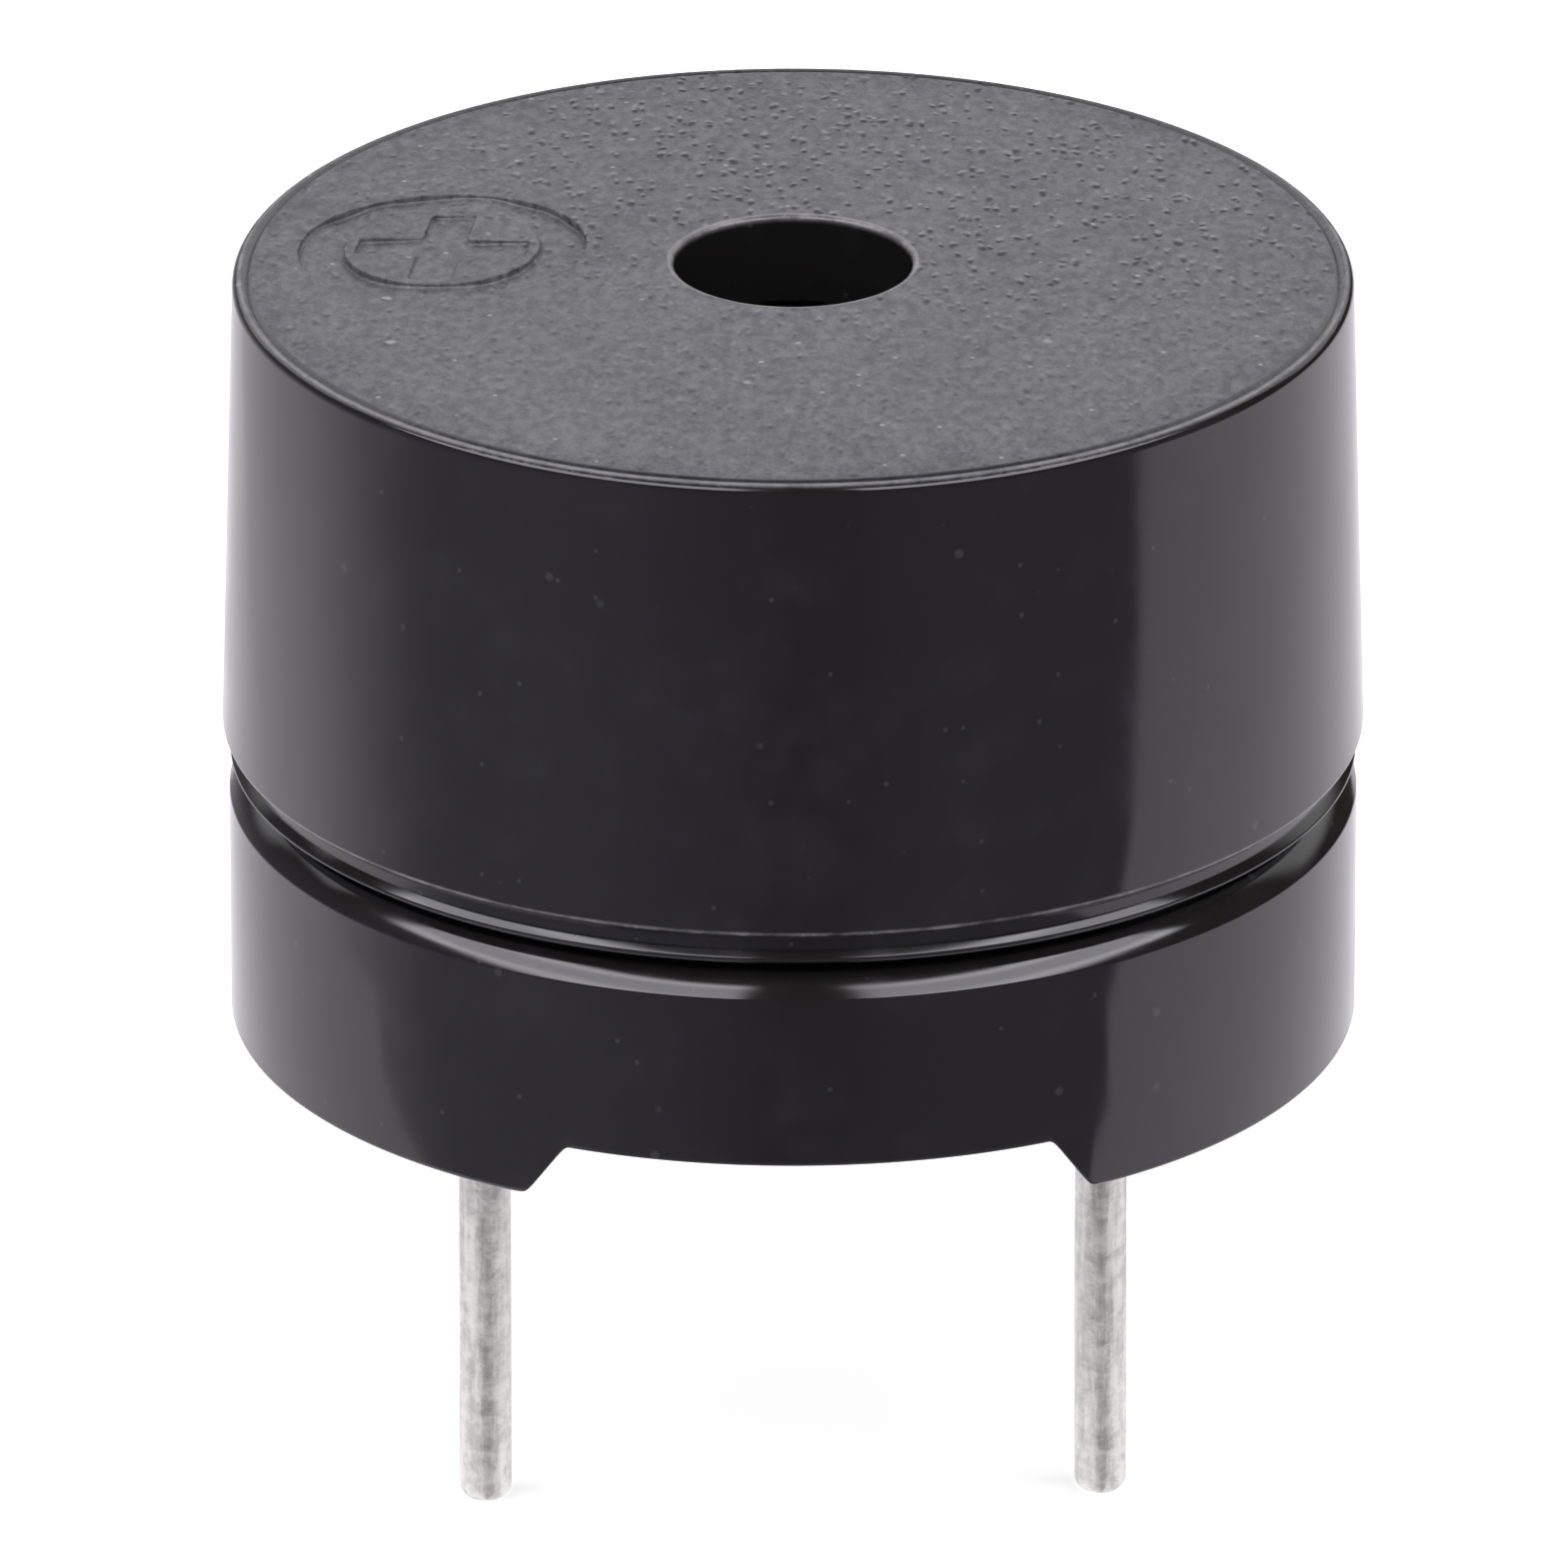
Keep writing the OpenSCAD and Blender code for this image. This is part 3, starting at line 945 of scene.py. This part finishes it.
@dataclass
class UpperCase:
    """The moulded cap: crowned top with the sound hole, drafted side and the lip over the groove."""

    case_r: float
    seam_z: float
    finish: bpy.types.Material
    rim_z: float = 8.25
    crown_h: float = 0.169
    draft: float = 0.12
    rim_edge: float = 0.11
    hole_r: float = 1.25
    hole_edge: float = 0.06
    top_wall: float = 0.8
    side_wall: float = 0.69
    inner_corner: float = 0.3
    lip_z: float = 3.27
    lip_step: float = 0.14
    lip_slope: float = 0.10
    edge: float = 0.07
    bead_r: float = 5.93
    bead_z: float = 2.955
    bead: float = 0.09
    bead_foot: float = 0.07
    line_w: float = 0.045
    line_depth: float = 0.028
    crown_steps: int = 24
    segments: int = 288

    @property
    def top_r(self) -> float:
        """The radius of the top."""
        return self.case_r - self.draft

    @property
    def crown_r(self) -> float:
        """The radius of the sphere that crowns the top."""
        return (self.top_r**2 + self.crown_h**2) / (2 * self.crown_h)

    @property
    def crown_z(self) -> float:
        """The height of that sphere's centre."""
        return self.rim_z + self.crown_h - self.crown_r

    def crown(self, r: float) -> float:
        """Gives the height of the top at a radius."""
        return self.crown_z + math.sqrt(self.crown_r**2 - r**2)

    def outline(self) -> list[Point]:
        """Gives the section of the cap.

        Returns:
            Its points, from the foot of the sound hole round to the ceiling.
        """
        ceiling = self.rim_z - self.top_wall
        bore = self.case_r - self.side_wall
        hole_top = Corner(self.hole_r, self.crown(self.hole_r), self.hole_edge)
        corners = [Corner(self.hole_r, ceiling), hole_top]
        width = self.top_r - self.rim_edge * 2.0 - self.hole_r
        for step in range(1, self.crown_steps):
            r = self.hole_r + width * step / (self.crown_steps - 1)
            corners.append(Corner(r, self.crown(r)))
        line_r = self.top_r - self.rim_edge - self.line_w
        corners += [
            Corner(line_r - self.line_w, self.crown(line_r - self.line_w)),
            Corner(line_r, self.crown(line_r) - self.line_depth),
            Corner(line_r + self.line_w, self.crown(line_r + self.line_w)),
            Corner(self.top_r, self.rim_z, self.rim_edge),
            Corner(self.case_r, self.lip_z, self.edge),
            Corner(self.case_r - self.lip_step, self.lip_z - self.lip_slope, self.edge / 3),
            Corner(self.bead_r - self.bead, self.bead_z + self.bead),
            Corner(self.bead_r, self.bead_z, self.bead / 3),
            Corner(self.bead_r - self.bead_foot, self.bead_z - self.bead_foot * 0.8, self.bead / 4),
            Corner(self.bead_r - self.bead_foot * 2, self.seam_z),
            Corner(bore, self.seam_z),
            Corner(bore, ceiling, self.inner_corner),
        ]
        return round_outline(corners)

    def build(self, mark: PolarityMark) -> bpy.types.Object:
        """Makes and dresses the cap.

        Args:
            mark: The polarity mark in its top.

        Returns:
            The finished piece.
        """
        cap = new_object("cap", turn_outline(self.outline(), even_angles(self.segments)))
        carve(cap, mark.cutter(self.top_r, self.crown_r, self.crown_z))
        return finish_piece(cap, self.finish, "upper_case")


@dataclass
class LowerCase:
    """The moulded base: two arc feet, the shoulder of the groove and the tube for the diaphragm."""

    base_r: float
    tube_top: float
    finish: bpy.types.Material
    case_r: float = 6.0
    draft: float = 0.01
    base_h: float = 2.5
    shoulder_h: float = 0.25
    shoulder_swell: float = 0.012
    shoulder_steps: int = 8
    seam_gap: float = 0.12
    seam_depth: float = 0.2
    groove_depth: float = 0.30
    edge: float = 0.05
    foot_edge: float = 0.06
    foot_h: float = 0.61
    notch_w: float = 5.1
    notch_flare: float = 0.4
    notch_corner: float = 0.08
    rim_wall: float = 0.72
    ledge_z: float = 2.0
    tube_r: float = 5.28
    tube_wall: float = 0.58
    rebate_h: float = 0.25
    rebate_w: float = 0.3
    segments: int = 288
    notch_segments: int = 56
    notch_margin: float = 0.1
    least_step: float = 0.004
    slack: float = 1e-6

    @staticmethod
    def above_zero(value: float, soft: float) -> float:
        """Keeps a value from falling below zero, with a corner rounded by that width."""
        return 0.5 * (value + math.sqrt(value * value + soft * soft / 4)) - soft / 8

    def notch_rise(self, x: float, y: float, z: float) -> float:
        """Lifts the foot's points where the notch runs between the feet.

        Args:
            x: The point's place across the notch.
            y: The point's place along the notch, which changes nothing.
            z: The point's height in the section.

        Returns:
            The rise of the point.
        """
        if z > self.foot_edge + self.slack:
            return 0.0
        share = (self.notch_w / 2 + self.notch_flare - abs(x)) / self.notch_flare
        soft = self.notch_corner / self.notch_flare
        eased = 1.0 - self.above_zero(1.0 - self.above_zero(share, soft), soft)
        return self.foot_h * min(max(eased, 0.0), 1.0)

    def angles(self) -> list[float]:
        """Gives the turned copies' angles, closer together where the notch leaves the feet.

        Returns:
            The angles in radians and in order.
        """
        wide = self.notch_w / 2 + self.notch_flare + self.notch_margin
        first = math.acos(wide / (self.base_r - self.rim_wall))
        last = math.acos((self.notch_w / 2 - self.notch_margin) / self.base_r)
        dense: list[float] = []
        even = even_angles(self.segments)
        for low in (first, math.pi - last, math.pi + first, math.tau - last):
            high = low + last - first
            for step in range(self.notch_segments + 1):
                dense.append(low + (high - low) * step / self.notch_segments)
            even = [a for a in even if not low - self.least_step < a < high + self.least_step]
        return sorted(dense + even)

    def shoulder_arc(self, groove: float, shoulder: float) -> list[Corner]:
        """Gives points on the slightly rounded shoulder, between its two edges.

        Args:
            groove: The radius of its upper edge.
            shoulder: The height of its upper edge.

        Returns:
            The points, from the lower edge up.
        """
        points = []
        for step in range(2, self.shoulder_steps - 1):
            share = step / self.shoulder_steps
            swell = self.shoulder_swell * 4 * share * (1 - share)
            r = self.base_r + (groove - self.base_r) * share + swell
            z = self.base_h + (shoulder - self.base_h) * share + swell
            points.append(Corner(r, z))
        return points

    def outline(self) -> list[Point]:
        """Gives the section of the base.

        Returns:
            Its points, from the pocket round the foot and up to the tube.
        """
        pocket = self.base_r - self.rim_wall
        groove = self.case_r - self.groove_depth
        shoulder = self.base_h + self.shoulder_h
        seam = shoulder + self.seam_gap
        seat = groove - self.seam_depth
        bore = self.tube_r - self.tube_wall
        rebate = self.tube_top - self.rebate_h
        return round_outline(
            [
                Corner(pocket, 0.0, self.foot_edge / 2),
                Corner(self.base_r - self.draft, 0.0, self.foot_edge),
                Corner(self.base_r, self.base_h, self.edge),
                *self.shoulder_arc(groove, shoulder),
                Corner(groove, shoulder, self.edge),
                Corner(seat, shoulder),
                Corner(seat, seam),
                Corner(self.tube_r, seam),
                Corner(self.tube_r, self.tube_top),
                Corner(bore + self.rebate_w, self.tube_top),
                Corner(bore + self.rebate_w, rebate),
                Corner(bore, rebate),
                Corner(bore, self.ledge_z),
                Corner(pocket, self.ledge_z),
            ]
        )

    def build(self) -> bpy.types.Object:
        """Makes and dresses the base."""
        base = new_object("base", turn_outline(self.outline(), self.angles(), self.notch_rise))
        return finish_piece(base, self.finish, "lower_case")


@dataclass
class Terminal:
    """A tinned pin with the barrel that passes the board and the head that is soldered on it."""

    side: Side
    pin_x: float
    tip_z: float
    head_z: float
    finish: bpy.types.Material
    pin_r: float = 0.275
    tip_edge: float = 0.18
    barrel_r: float = 0.48
    barrel_z: float = 0.6
    barrel_edge: float = 0.06
    ledge_z: float = 2.0
    head_r: float = 0.7
    head_edge: float = 0.06
    segments: int = 72

    def build(self) -> bpy.types.Object:
        """Makes and dresses the pin.

        Returns:
            The finished piece.
        """
        outline = round_outline(
            [
                Corner(0.0, self.tip_z),
                Corner(self.pin_r, self.tip_z, self.tip_edge),
                Corner(self.pin_r, self.barrel_z, self.barrel_edge / 2),
                Corner(self.barrel_r, self.barrel_z, self.barrel_edge),
                Corner(self.barrel_r, self.ledge_z),
                Corner(self.head_r, self.ledge_z),
                Corner(self.head_r, self.head_z, self.head_edge),
                Corner(0.0, self.head_z),
            ]
        )
        mesh = turn_outline(outline, even_angles(self.segments))
        bmesh.ops.translate(mesh, vec=(self.side.value * self.pin_x, 0.0, 0.0), verts=mesh.verts)
        pin = new_object(f"{self.side.word}_terminal", mesh)
        return finish_piece(pin, self.finish, f"{self.side.word}_pin")


@dataclass
class SealingResin:
    """The cast resin under the board, which creeps up along the rim and the barrels."""

    pocket_r: float
    top_z: float
    pin_x: float
    finish: bpy.types.Material
    face_z: float = 0.8
    rim_creep: float = 0.15
    barrel_creep: float = 0.10
    creep_w: float = 0.16
    barrel_r: float = 0.48
    rings: int = 72
    segments: int = 192
    barrel_segments: int = 72

    def face(self, x: float, y: float) -> float:
        """Gives the height of the resin's lower face.

        Args:
            x: The place along X.
            y: The place along Y.

        Returns:
            The height there.
        """
        rim = math.exp((math.hypot(x, y) - self.pocket_r) / self.creep_w)
        z = self.face_z - self.rim_creep * rim
        for side in Side:
            gap = math.hypot(x - side.value * self.pin_x, y) - self.barrel_r
            z -= self.barrel_creep * math.exp(-max(gap, 0.0) / self.creep_w)
        return z

    def build(self) -> bpy.types.Object:
        """Makes and dresses the resin.

        Returns:
            The finished piece.
        """
        outline = [(self.pocket_r * ring / self.rings, 0.0) for ring in range(self.rings + 1)]
        outline += [(self.pocket_r, self.top_z), (0.0, self.top_z)]

        def lift(x: float, y: float, z: float) -> float:
            """Moves the lower face's points onto its creeping shape."""
            return self.face(x, y) if z == 0.0 else 0.0

        mesh = turn_outline(outline, even_angles(self.segments), lift)
        for vert in mesh.verts:
            if vert.co.x == 0.0 and vert.co.y == 0.0 and vert.co.z == 0.0:
                vert.co.z = self.face(0.0, 0.0)
        resin = new_object("resin", mesh)
        for side in Side:
            carve(resin, self.barrel(side))
        return finish_piece(resin, self.finish, "sealing_resin")

    def barrel(self, side: Side) -> bpy.types.Object:
        """Makes the solid of one barrel's hole.

        Args:
            side: The barrel's side.

        Returns:
            The cutter, in place.
        """
        high = 2 * self.top_z
        outline = [(0.0, 0.0), (self.barrel_r, 0.0), (self.barrel_r, high), (0.0, high)]
        mesh = turn_outline(outline, even_angles(self.barrel_segments))
        bmesh.ops.translate(mesh, vec=(side.value * self.pin_x, 0.0, 0.0), verts=mesh.verts)
        return new_object("barrel_cutter", mesh)


@dataclass
class WoundCoil:
    """The coil's layers of enamelled wire, wound by a Geometry Nodes tree."""

    outer_r: float
    low_z: float
    high_z: float
    finish: bpy.types.Material
    core_gap_r: float = 1.03
    wire_d: float = 0.1
    steps: int = 30
    sides: int = 5
    smooth_angle: float = 60.0

    def tree(self) -> bpy.types.NodeTree:
        """Builds the Geometry Nodes tree.

        Returns:
            The tree, with named inputs for the coil's sizes in metres.
        """
        tree = bpy.data.node_groups.new("wound_coil", "GeometryNodeTree")
        for name, kind in (
            ("Layers", "NodeSocketInt"),
            ("Turns", "NodeSocketFloat"),
            ("Outer Radius", "NodeSocketFloat"),
            ("Wire Diameter", "NodeSocketFloat"),
            ("Height", "NodeSocketFloat"),
            ("Base Height", "NodeSocketFloat"),
            ("Finish", "NodeSocketMaterial"),
        ):
            tree.interface.new_socket(name, in_out="INPUT", socket_type=kind)
        tree.interface.new_socket("Geometry", in_out="OUTPUT", socket_type="NodeSocketGeometry")
        graph = NodeGraph(tree)
        sizes = graph.node("NodeGroupInput").outputs
        wire_d = sizes["Wire Diameter"]
        turns = {"Rotations": sizes["Turns"], "Height": sizes["Height"], "Resolution": self.steps}
        rounds = {"Start Radius": 1.0, "End Radius": 1.0}
        spiral = graph.node("GeometryNodeCurveSpiral", turns | rounds)
        layers = graph.node("GeometryNodePoints", {"Count": sizes["Layers"]})
        index = graph.node("GeometryNodeInputIndex")
        inset = graph.math("MULTIPLY", index.outputs[0], wire_d)
        radius = graph.math("SUBTRACT", sizes["Outer Radius"], inset)
        scale = graph.node("ShaderNodeCombineXYZ", {0: radius, 1: radius, 2: 1.0})
        wind = graph.node(
            "GeometryNodeInstanceOnPoints",
            {"Points": layers.outputs[0], "Instance": spiral.outputs[0], "Scale": scale.outputs[0]},
        )
        path = graph.node("GeometryNodeRealizeInstances", {0: wind.outputs[0]})
        section = graph.node(
            "GeometryNodeCurvePrimitiveCircle",
            {"Resolution": self.sides, "Radius": graph.math("MULTIPLY", wire_d, 0.5)},
        )
        wire = graph.node(
            "GeometryNodeCurveToMesh",
            {"Curve": path.outputs[0], "Profile Curve": section.outputs[0], "Fill Caps": True},
        )
        lift = graph.node("ShaderNodeCombineXYZ", {2: sizes["Base Height"]})
        place = graph.node(
            "GeometryNodeTransform", {"Geometry": wire.outputs[0], "Translation": lift.outputs[0]}
        )
        dress = graph.node(
            "GeometryNodeSetMaterial", {"Geometry": place.outputs[0], "Material": sizes["Finish"]}
        )
        graph.node("NodeGroupOutput", {0: dress.outputs[0]})
        return tree

    def build(self) -> bpy.types.Object:
        """Winds and dresses the coil.

        Returns:
            The finished piece.
        """
        tree = self.tree()
        room = self.outer_r - self.core_gap_r
        layers = round(room / self.wire_d)
        wire = room / layers
        height = self.high_z - self.low_z - wire
        values = {
            "Layers": layers,
            "Turns": float(round(height / wire)),
            "Outer Radius": (self.outer_r - wire / 2) * MM,
            "Wire Diameter": wire * MM,
            "Height": height * MM,
            "Base Height": (self.low_z + wire / 2) * MM,
            "Finish": self.finish,
        }
        coil = bpy.data.objects.new("coil", bpy.data.meshes.new("coil"))
        bpy.context.scene.collection.objects.link(coil)
        modifier = coil.modifiers.new("wind", "NODES")
        modifier.node_group = tree
        for item in tree.interface.items_tree:
            if item.in_out == "INPUT":
                modifier[item.identifier] = values[item.name]
        graph = bpy.context.evaluated_depsgraph_get()
        wound = bpy.data.meshes.new_from_object(coil.evaluated_get(graph))
        coil.modifiers.remove(modifier)
        coil.data = wound
        shade(coil, self.smooth_angle)
        return finish_piece(coil, self.finish, "coil_winding")


def finish_piece(
    piece: bpy.types.Object, finish: bpy.types.Material, node: str
) -> bpy.types.Object:
    """Dresses a piece, lets it ride on the part and stand for its CAD node.

    Args:
        piece: The piece, in place.
        finish: Its material.
        node: The CAD node that it replaces.

    Returns:
        The same piece.
    """
    piece.data.materials.clear()
    piece.data.materials.append(finish)
    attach(piece, ROOT)
    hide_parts(node)
    LOG.info("%s: %d faces, stands for %s", piece.name, len(piece.data.polygons), node)
    return piece


def dress_node(node: bpy.types.Object, finish: bpy.types.Material) -> None:
    """Gives a CAD node that stays as it is a procedural material.

    Args:
        node: The node's object.
        finish: The material.
    """
    node.data.materials.clear()
    node.data.materials.append(finish)
    LOG.info("%s: dressed in %s", node.name, finish.name)


@dataclass(frozen=True)
class LightPanel:
    """A soft-edged bright part of the studio, by its direction in degrees."""

    azimuth: float
    half_width: float
    low: float
    high: float
    level: float
    edge: float = 2.0
    tint: Colour = (1.0, 1.0, 1.0)
    brim: float = 0.0
    brim_start: float = 0.37
    brim_end: float = 0.72


@dataclass(frozen=True)
class ReflectedSheet:
    """A sheet on the floor that only reflections see, by its corners in millimetres."""

    name: str
    level: float
    corners: tuple[Point, ...]


@dataclass
class Studio:
    """The floor, the room's light and the camera, which aren't part of the object."""

    floor_z: float
    azimuth: float = -1.8
    elevation: float = 22.7
    distance: float = 500.0
    aim: tuple[float, float, float] = (-0.067, 0.882, 2.102)
    field: float = 16.516
    sensor: float = 36.0
    nearest: float = 0.01
    farthest: float = 10.0
    floor_half: float = 400.0
    floor_colour: Colour = (0.8, 0.8, 0.8)
    floor_white: float = 0.595
    room_light: Colour = (0.056, 0.050, 0.045)
    sheet_gap: float = 0.01
    panels: tuple[LightPanel, ...] = (
        LightPanel(128.0, 55.0, -90.0, -9.0, 1.08, 2.0, PALE),
        LightPanel(-146.0, 47.0, -90.0, -9.0, 1.0, 22.0, PALE),
        LightPanel(172.0, 50.0, 13.0, 58.0, 1.0, 5.0),
        LightPanel(-130.0, 10.0, 28.0, 50.0, 1.0, 3.0),
        LightPanel(53.8, 39.7, 35.0, 58.0, 3.95, 2.5, brim=0.58),
        LightPanel(-58.2, 44.3, 35.0, 58.0, 3.95, 2.5, brim=0.58),
        LightPanel(50.0, 40.0, -60.0, 10.0, 0.17, 18.0, COOL),
        LightPanel(-75.0, 60.0, -60.0, 10.0, 0.34, 40.0, COOL),
    )
    sheets: tuple[ReflectedSheet, ...] = (
        ReflectedSheet("white_sheet", 1.12, (
            (-21.0, 70.0), (-21.0, 9.5), (-22.7, 3.2), (-22.3, 0.1), (-21.5, -1.7), (-18.3, -2.4),
            (-14.0, -6.0), (-9.0, -11.0), (0.0, -13.0), (9.0, -11.0), (15.6, -10.4), (20.0, -12.6),
            (26.5, -12.9), (37.2, -15.8), (60.0, -22.0), (60.0, 70.0),
        )),
        ReflectedSheet("left_shade", 0.42, ((-8.5, -13.0), (-3.25, -0.2), (5.5, -12.0))),
        ReflectedSheet("right_shade", 0.42, ((-2.0, -13.0), (3.25, -0.2), (11.5, -11.5))),
    )

    def build(self) -> None:
        """Sets up the floor, the reflected sheets, the room and the camera."""
        self.make_floor()
        for index, sheet in enumerate(self.sheets):
            self.make_sheet(sheet, self.floor_z - self.sheet_gap * (len(self.sheets) - index))
        self.make_room()
        self.make_camera()
        bpy.context.scene.view_settings.view_transform = "Standard"

    def make_floor(self) -> None:
        """Lays a pale floor under the pins that keeps the object's shadow."""
        mesh = bmesh.new()
        bmesh.ops.create_grid(mesh, x_segments=8, y_segments=8, size=self.floor_half)
        bmesh.ops.translate(mesh, vec=(0.0, 0.0, self.floor_z), verts=mesh.verts)
        floor = new_object("floor", mesh)
        floor.visible_glossy = False
        material = bpy.data.materials.new("floor_white")
        graph = NodeGraph.of(material)
        pale = graph.node("ShaderNodeBsdfDiffuse", {"Color": solid(self.floor_colour)})
        camera_ray = graph.node("ShaderNodeLightPath").outputs["Is Camera Ray"]
        seen = graph.math("MULTIPLY", camera_ray, self.floor_white)
        glow = graph.node("ShaderNodeEmission", {"Strength": seen})
        both = graph.node("ShaderNodeAddShader", {0: pale.outputs[0], 1: glow.outputs[0]})
        graph.node("ShaderNodeOutputMaterial", {"Surface": both.outputs[0]})
        floor.data.materials.append(material)

    @staticmethod
    def make_sheet(sheet: ReflectedSheet, z: float) -> None:
        """Lays a sheet that the pins and the case's flanks reflect.

        Args:
            sheet: The sheet.
            z: Its height in millimetres.
        """
        mesh = bmesh.new()
        mesh.faces.new([mesh.verts.new((x, y, z)) for x, y in sheet.corners])
        laid = new_object(sheet.name, mesh)
        laid.visible_camera = False
        laid.visible_diffuse = False
        laid.visible_shadow = False
        material = bpy.data.materials.new(sheet.name)
        graph = NodeGraph.of(material)
        glow = graph.node("ShaderNodeEmission", {"Color": solid(PALE), "Strength": sheet.level})
        graph.node("ShaderNodeOutputMaterial", {"Surface": glow.outputs[0]})
        laid.data.materials.append(material)

    def make_room(self) -> None:
        """Builds the room's light from its panels, with a white background for the camera."""
        world = bpy.data.worlds.new("studio")
        bpy.context.scene.world = world
        graph = NodeGraph.of(world)
        way = graph.node("ShaderNodeTexCoord").outputs["Generated"]
        parts = graph.node("ShaderNodeSeparateXYZ", {"Vector": way}).outputs
        round_z = graph.math("ARCTAN2", parts[0], graph.math("MULTIPLY", parts[1], -1.0))
        azimuth = graph.math("DEGREES", round_z)
        elevation = graph.math("DEGREES", graph.math("ARCSINE", parts[2]))
        red, green, blue = self.room_light
        total = graph.node("ShaderNodeCombineXYZ", {0: red, 1: green, 2: blue}).outputs[0]
        for panel in self.panels:
            total = self.add_panel(graph, total, azimuth, elevation, panel)
        room = graph.node("ShaderNodeBackground", {"Color": total, "Strength": 1.0})
        white = graph.node("ShaderNodeBackground", {"Color": (1.0, 1.0, 1.0, 1.0), "Strength": 1.0})
        seen = graph.node("ShaderNodeLightPath").outputs["Is Camera Ray"]
        both = graph.node("ShaderNodeMixShader", {0: seen, 1: room.outputs[0], 2: white.outputs[0]})
        graph.node("ShaderNodeOutputWorld", {"Surface": both.outputs[0]})

    @staticmethod
    def add_panel(
        graph: NodeGraph, total: Socket, azimuth: Socket, elevation: Socket, panel: LightPanel
    ) -> Socket:
        """Adds one panel's light to the room's.

        Args:
            graph: The world's node tree.
            total: The light so far.
            azimuth: The direction's azimuth in degrees.
            elevation: The direction's elevation in degrees.
            panel: The panel.

        Returns:
            The light with the panel's.
        """
        turned = graph.math("WRAP", graph.math("SUBTRACT", azimuth, panel.azimuth), 180.0, -180.0)
        aside = graph.math("ABSOLUTE", turned)
        across = graph.ramp(aside, panel.half_width + panel.edge, panel.half_width - panel.edge)
        above = graph.ramp(elevation, panel.low - panel.edge, panel.low + panel.edge)
        below = graph.ramp(elevation, panel.high + panel.edge, panel.high - panel.edge)
        mask = graph.math("MULTIPLY", across, graph.math("MULTIPLY", above, below))
        if panel.brim:
            half = (panel.high - panel.low) / 2
            off = graph.math("ABSOLUTE", graph.math("SUBTRACT", elevation, panel.low + half))
            start = half * panel.brim_start
            end = half * panel.brim_end
            gain = graph.ramp(off, start, end, 1.0, 1.0 + panel.brim)
            mask = graph.math("MULTIPLY", mask, gain)
        glow = [part * panel.level for part in panel.tint]
        return graph.vector("ADD", total, graph.vector("MULTIPLY", glow, mask))

    def make_camera(self) -> None:
        """Sets the camera at the viewing angle of the picture, far off with a long lens."""
        turn = math.radians(self.azimuth)
        rise = math.radians(self.elevation)
        toward = Vector(
            (math.sin(turn) * math.cos(rise), -math.cos(turn) * math.cos(rise), math.sin(rise))
        )
        lens = bpy.data.cameras.new("camera")
        lens.sensor_width = self.sensor
        lens.lens = self.sensor * self.distance / self.field
        lens.clip_start = self.nearest
        lens.clip_end = self.farthest
        camera = bpy.data.objects.new("camera", lens)
        camera.rotation_mode = "QUATERNION"
        camera.location = (Vector(self.aim) + toward * self.distance) * MM
        camera.rotation_quaternion = (-toward).to_track_quat("-Z", "Y")
        bpy.context.scene.collection.objects.link(camera)
        bpy.context.scene.camera = camera


def node_box(node: str) -> tuple[Vector, Vector]:
    """Gives a CAD node's lowest and highest corner in millimetres."""
    low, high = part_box(node)
    return low / MM, high / MM


def main() -> None:
    """Builds every piece around the frame, dresses it and lights it."""
    logging.basicConfig(level=logging.INFO, format="%(name)s: %(message)s")
    for thing in list(bpy.data.objects):
        bpy.data.objects.remove(thing)
    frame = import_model()
    nodes = frame["nodes"]

    plastic = MouldedBlack().build()
    tin = TinnedMetal("tinned_pin").build()
    copper = PlainMetal("enamelled_copper", (0.48, 0.16, 0.05), 0.22, (1.0, 1.0, 14.0)).build()

    cap_low, cap_high = node_box("upper_case")
    UpperCase(min(-cap_low.x, cap_high.x), cap_low.z, plastic).build(PolarityMark())
    base_low, base_high = node_box("lower_case")
    LowerCase(min(-base_low.x, base_high.x), base_high.z, plastic).build()
    for side in Side:
        low, high = node_box(f"{side.word}_pin")
        Terminal(side, abs(low.x + high.x) / 2, low.z, high.z, tin).build()
    pin_low, pin_high = node_box("negative_pin")
    resin_high = node_box("sealing_resin")[1]
    SealingResin(resin_high.x, resin_high.z, (pin_low.x + pin_high.x) / 2, CastResin().build()).build()
    coil_low, coil_high = node_box("coil_winding")
    WoundCoil(coil_high.x, coil_low.z, coil_high.z, copper).build()

    steel = PlainMetal("spring_steel", (0.50, 0.50, 0.49), 0.26).build()
    iron = PlainMetal("soft_iron", (0.42, 0.42, 0.43), 0.34, (12.0, 1.0, 1.0)).build()
    ferrite = PlainMetal("magnet_ferrite", (0.05, 0.05, 0.055), 0.55, (1.0, 1.0, 6.0), 0.0).build()
    solder = TinnedMetal("solder", (0.62, 0.63, 0.65), (0.42, 0.43, 0.45), 0.24, 0.2).build()
    laminate = BoardLaminate().build()
    finishes = {
        "diaphragm": steel,
        "armature_disc": steel,
        "ring_magnet": ferrite,
        "pole_core": iron,
        "positive_tail": copper,
        "negative_tail": copper,
        "yoke_plate": iron,
        "circuit_board": laminate,
        "positive_solder": solder,
        "negative_solder": solder,
    }
    for name, finish in finishes.items():
        dress_node(nodes[name], finish)

    Studio(pin_low.z).build()


if __name__ == "__main__":
    main()
